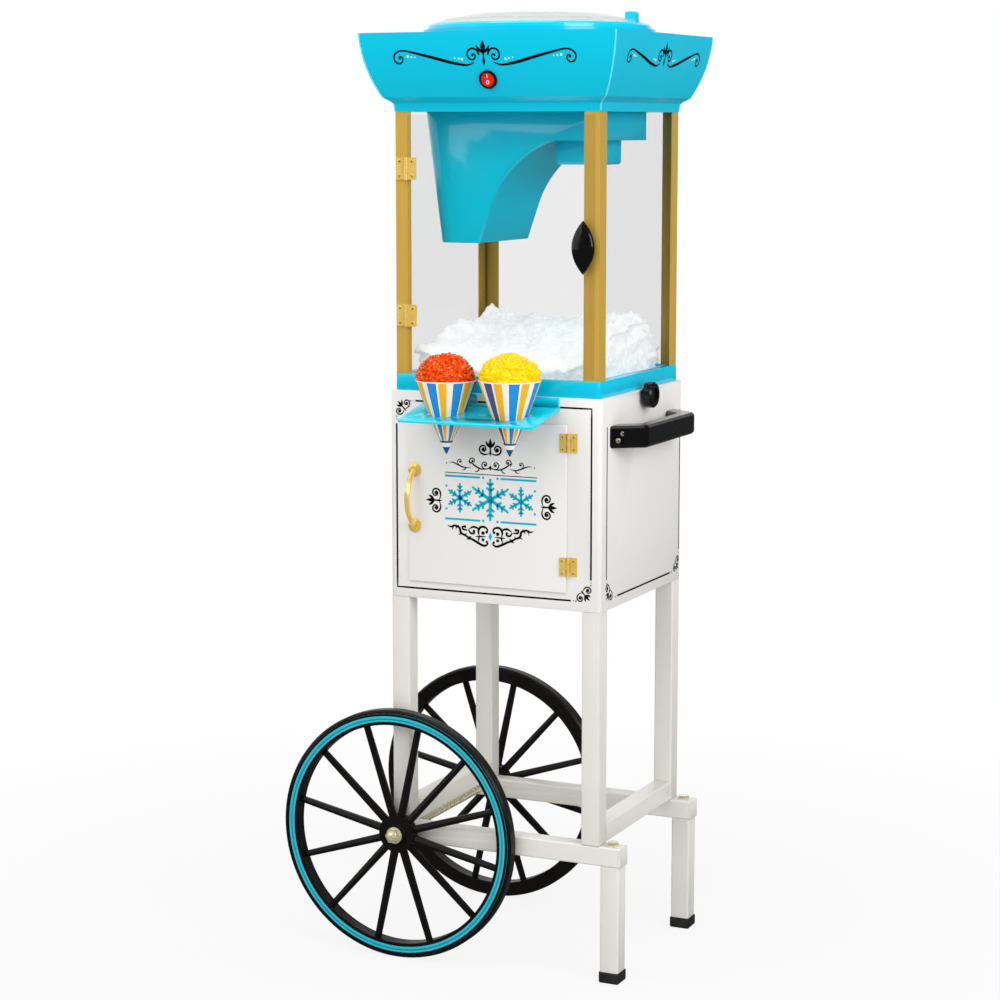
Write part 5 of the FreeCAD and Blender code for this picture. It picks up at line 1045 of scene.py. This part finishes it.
RIBBON = [(13.1, 2.6, 1.0), (18.0, 0.6, 1.8), (24.4, -0.6, 2.4), (35.2, 0.8, 3.4), (47.7, 3.3, 3.8),
          (63.8, 7.5, 3.8), (79.9, 11.4, 3.4), (96.2, 15.2, 2.6), (107.2, 17.4, 2.2),
          (114.6, 17.2, 2.1), (119.2, 15.1, 2.0)]
HOUSING_HALF = [
    spiral((14.6, 11.3), 180, -430, (8.3, 1.0), 2, (2.6, 1.8), 44),
    spiral((115.2, 8.2), 60, -360, (8.0, 1.0), 1.5, (2.4, 1.7), 38),
    flow(RIBBON),
    flow([(0.4, 14.2, 1.4), (3.4, 16.2, 3.6), (6.6, 19.0, 3.4), (8.8, 23.2, 0.6)]),
]
HOUSING_EYES = [(14.9, 11.3, 1.7), (115.0, 8.4, 1.7)]
HOUSING_BUD = flow([(0, -1, 0.5), (0, 4, 3.8), (0, 9.2, 1.8), (0, 15.2, 3.6), (0, 21.5, 6.4),
                    (0, 25.5, 3.6), (0, 29, 0.5)])
HOUSING_DOTS = [(29.5, 6.5, 1.5), (34.0, 7.2, 1.1), (38.9, 8.1, 0.8),
                (103.6, 10.6, 1.5), (98.6, 9.9, 1.1), (93.8, 9.5, 0.8)]
SCROLL_FOOT = 1152.0


def ribbon_scroll(side, middle):
    """A bud between two spirals, each with a ribbon that runs out to a second spiral."""
    page = Print(f"housing_scroll_{side}", "top_housing", side)
    accents = Print(f"housing_dots_{side}", "top_housing", side, ink_name="pale_ink")
    foot = (middle, SCROLL_FOOT)
    for flip in (1, -1):
        page.draw(HOUSING_HALF, foot, flip=flip)
        page.dots(HOUSING_EYES, foot, flip)
        accents.dots(HOUSING_DOTS, foot, flip)
    page.draw([HOUSING_BUD], foot)
    page.done()
    accents.done()


MITRE_LOW, MITRE_HIGH, MITRE_ROWS = 1095.5, 1191.5, 32
MITRE_BEAD, MITRE_STEPS = 1.2, 10
MITRE_IN = 0.85  # from the corner's two faces to the bead's middle line
PROBE_ASIDE = 60.0  # keeps the probing rays clear of the switch


def mitre_highlight_beads():
    """The pale rounded edge down each of the housing's four mitres: its pale colour is a painted
    highlight.
    """
    tree = face_tree("top_housing")
    corners = []
    for k in range(MITRE_ROWS + 1):
        z = MITRE_LOW + (MITRE_HIGH - MITRE_LOW) * k / MITRE_ROWS
        side, _ = hit(tree, at(FAR, PROBE_ASIDE, z), Vector((-1, 0, 0)), "mitre_highlight_beads")
        front, _ = hit(tree, at(PROBE_ASIDE, -FAR, z), TOWARDS_BACK, "mitre_highlight_beads")
        corners.append((cart(side).x - MITRE_IN, -cart(front).y - MITRE_IN, z))
    verts, faces = [], []
    for right in (1, -1):
        for rear in (1, -1):
            first = len(verts)
            for x, y, z in corners:
                verts += [at(right * x + u, rear * y + v, z)
                          for u, v in circle(MITRE_BEAD, MITRE_STEPS)]
            last = len(verts) - MITRE_STEPS
            for low in range(first, last, MITRE_STEPS):
                faces += band(low, low + MITRE_STEPS, MITRE_STEPS)
            faces += [lid(first, MITRE_STEPS, flip=True), lid(last, MITRE_STEPS)]
    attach(mesh_object("mitre_highlight_beads", verts, faces, M["mitre_highlight_blue"]), "cart")


mitre_highlight_beads()
ribbon_scroll("front", -2.9)
ribbon_scroll("right", 4.0)
ribbon_scroll("left", 4.0)


# ---- camera and light ----
CAMERA_AT = (1336.4, -2996.4, 1076.0)
CAMERA_TURN = 24.92  # degrees round from straight in front of the cart
CAMERA_DOWN = 8.38  # degrees below level
CAMERA_LENS, CAMERA_SENSOR = 91.1, 36.0
CAMERA_CLIP = (0.1, 50.0)


def stand(name, data, where, look):
    """Puts a camera or a lamp at a point, turned to where it looks."""
    obj = bpy.data.objects.new(name, data)
    obj.location = at(*where)
    obj.rotation_mode = "QUATERNION"
    obj.rotation_quaternion = look.to_track_quat("-Z", "Y")
    bpy.context.scene.collection.objects.link(obj)
    return obj


def place_camera():
    turn, down = radians(CAMERA_TURN), radians(CAMERA_DOWN)
    look = Vector((-sin(turn) * cos(down), cos(turn) * cos(down), -sin(down)))
    data = bpy.data.cameras.new("photo_camera")
    data.sensor_width = CAMERA_SENSOR
    data.lens = CAMERA_LENS
    data.clip_start, data.clip_end = CAMERA_CLIP
    bpy.context.scene.camera = stand("photo_camera", data, CAMERA_AT, look)


def area_light(name, where, target, size, power):
    data = bpy.data.lights.new(name, "AREA")
    data.shape = "RECTANGLE"
    data.size, data.size_y = size
    data.energy = power
    stand(name, data, where, at(*target) - at(*where))


def shown_rays(tree):
    """1 on the rays that show a thing directly, in a reflection or through glass, else 0."""
    rays = tree.nodes.new("ShaderNodeLightPath").outputs
    reflected = combine(tree, "MAXIMUM", rays["Is Camera Ray"], rays["Is Glossy Ray"])
    return combine(tree, "MAXIMUM", reflected, rays["Is Transmission Ray"])


WHITE = (1.0, 1.0, 1.0, 1.0)
AMBIENT = 0.79
ROOM_SIDE = (0.92, -0.38, 0.05)  # towards the dim side of the studio, which only reflections show
ROOM_FADE = (-0.4, -0.1)
ROOM_DARK = 0.92
FLOOR_REACH = 9000
FLOOR_COLOUR, FLOOR_PATCH = (0.6, 0.6, 0.6), (0.58, 0.58, 0.58)
FLOOR_FADE = (0.45, 1.3)  # metres from the middle over which the floor turns into backdrop
FLOOR_GLOW = 0.86  # the backdrop's share in the floor under the cart
LAMPS = (  # name, from and to in millimetres, sides in metres, watts
    ("key", (-1300, -2700, 2300), (0, 0, 750), (1.8, 1.8), 17.5),
    ("fill", (2600, -1300, 1700), (0, 0, 650), (1.6, 1.6), 38),
    ("top", (0, -1000, 3200), (0, -100, 700), (2.4, 2.4), 30),
)


def studio_world():
    """White where it is looked at, and softer where it only lights the cart."""
    world = bpy.data.worlds.new("studio")
    world.use_nodes = True
    tree = world.node_tree
    background = tree.nodes["Background"]
    background.inputs["Color"].default_value = WHITE
    strength = map_range(tree, shown_rays(tree), AMBIENT, 1.0)
    towards = tree.nodes.new("ShaderNodeVectorMath")
    towards.operation = "DOT_PRODUCT"
    towards.inputs[1].default_value = ROOM_SIDE
    tree.links.new(tree.nodes.new("ShaderNodeTexCoord").outputs["Generated"], towards.inputs[0])
    room = map_range(tree, towards.outputs["Value"], 0.0, ROOM_DARK, *ROOM_FADE)
    glossy = tree.nodes.new("ShaderNodeLightPath").outputs["Is Glossy Ray"]
    dark = combine(tree, "MULTIPLY", room, glossy)
    tree.links.new(combine(tree, "SUBTRACT", strength, dark), background.inputs["Strength"])
    bpy.context.scene.world = world


def studio_floor():
    """A pale floor that keeps the cart's shadow and fades into the white around it."""
    made = Finish("studio_floor", FLOOR_COLOUR, 0.85, specular=0.1)
    made.mottle(3, FLOOR_PATCH, 0.5)
    distance = made.node("ShaderNodeVectorMath", operation="LENGTH")
    made.link(made.place, distance.inputs[0])
    far = map_range(made.tree, distance.outputs["Value"], FLOOR_GLOW, 1.0, *FLOOR_FADE)
    share = combine(made.tree, "MULTIPLY", far, shown_rays(made.tree))
    glow = made.node("ShaderNodeEmission")
    glossy = made.node("ShaderNodeLightPath").outputs["Is Glossy Ray"]
    made.link(map_range(made.tree, glossy, 1.0, 1.0 - ROOM_DARK), glow.inputs["Strength"])
    mix = made.node("ShaderNodeMixShader")
    made.link(share, mix.inputs[0])
    made.link(made.shader.outputs[0], mix.inputs[1])
    made.link(glow.outputs[0], mix.inputs[2])
    made.link(mix.outputs[0], made.tree.nodes["Material Output"].inputs["Surface"])
    verts = [at(x * FLOOR_REACH, y * FLOOR_REACH, 0) for x, y in ((-1, -1), (1, -1), (1, 1), (-1, 1))]
    mesh_object("studio_floor", verts, [(0, 1, 2, 3)], made.material)


def studio():
    bpy.context.scene.view_settings.view_transform = "Standard"
    studio_world()
    studio_floor()
    for lamp in LAMPS:
        area_light(*lamp)


place_camera()
studio()
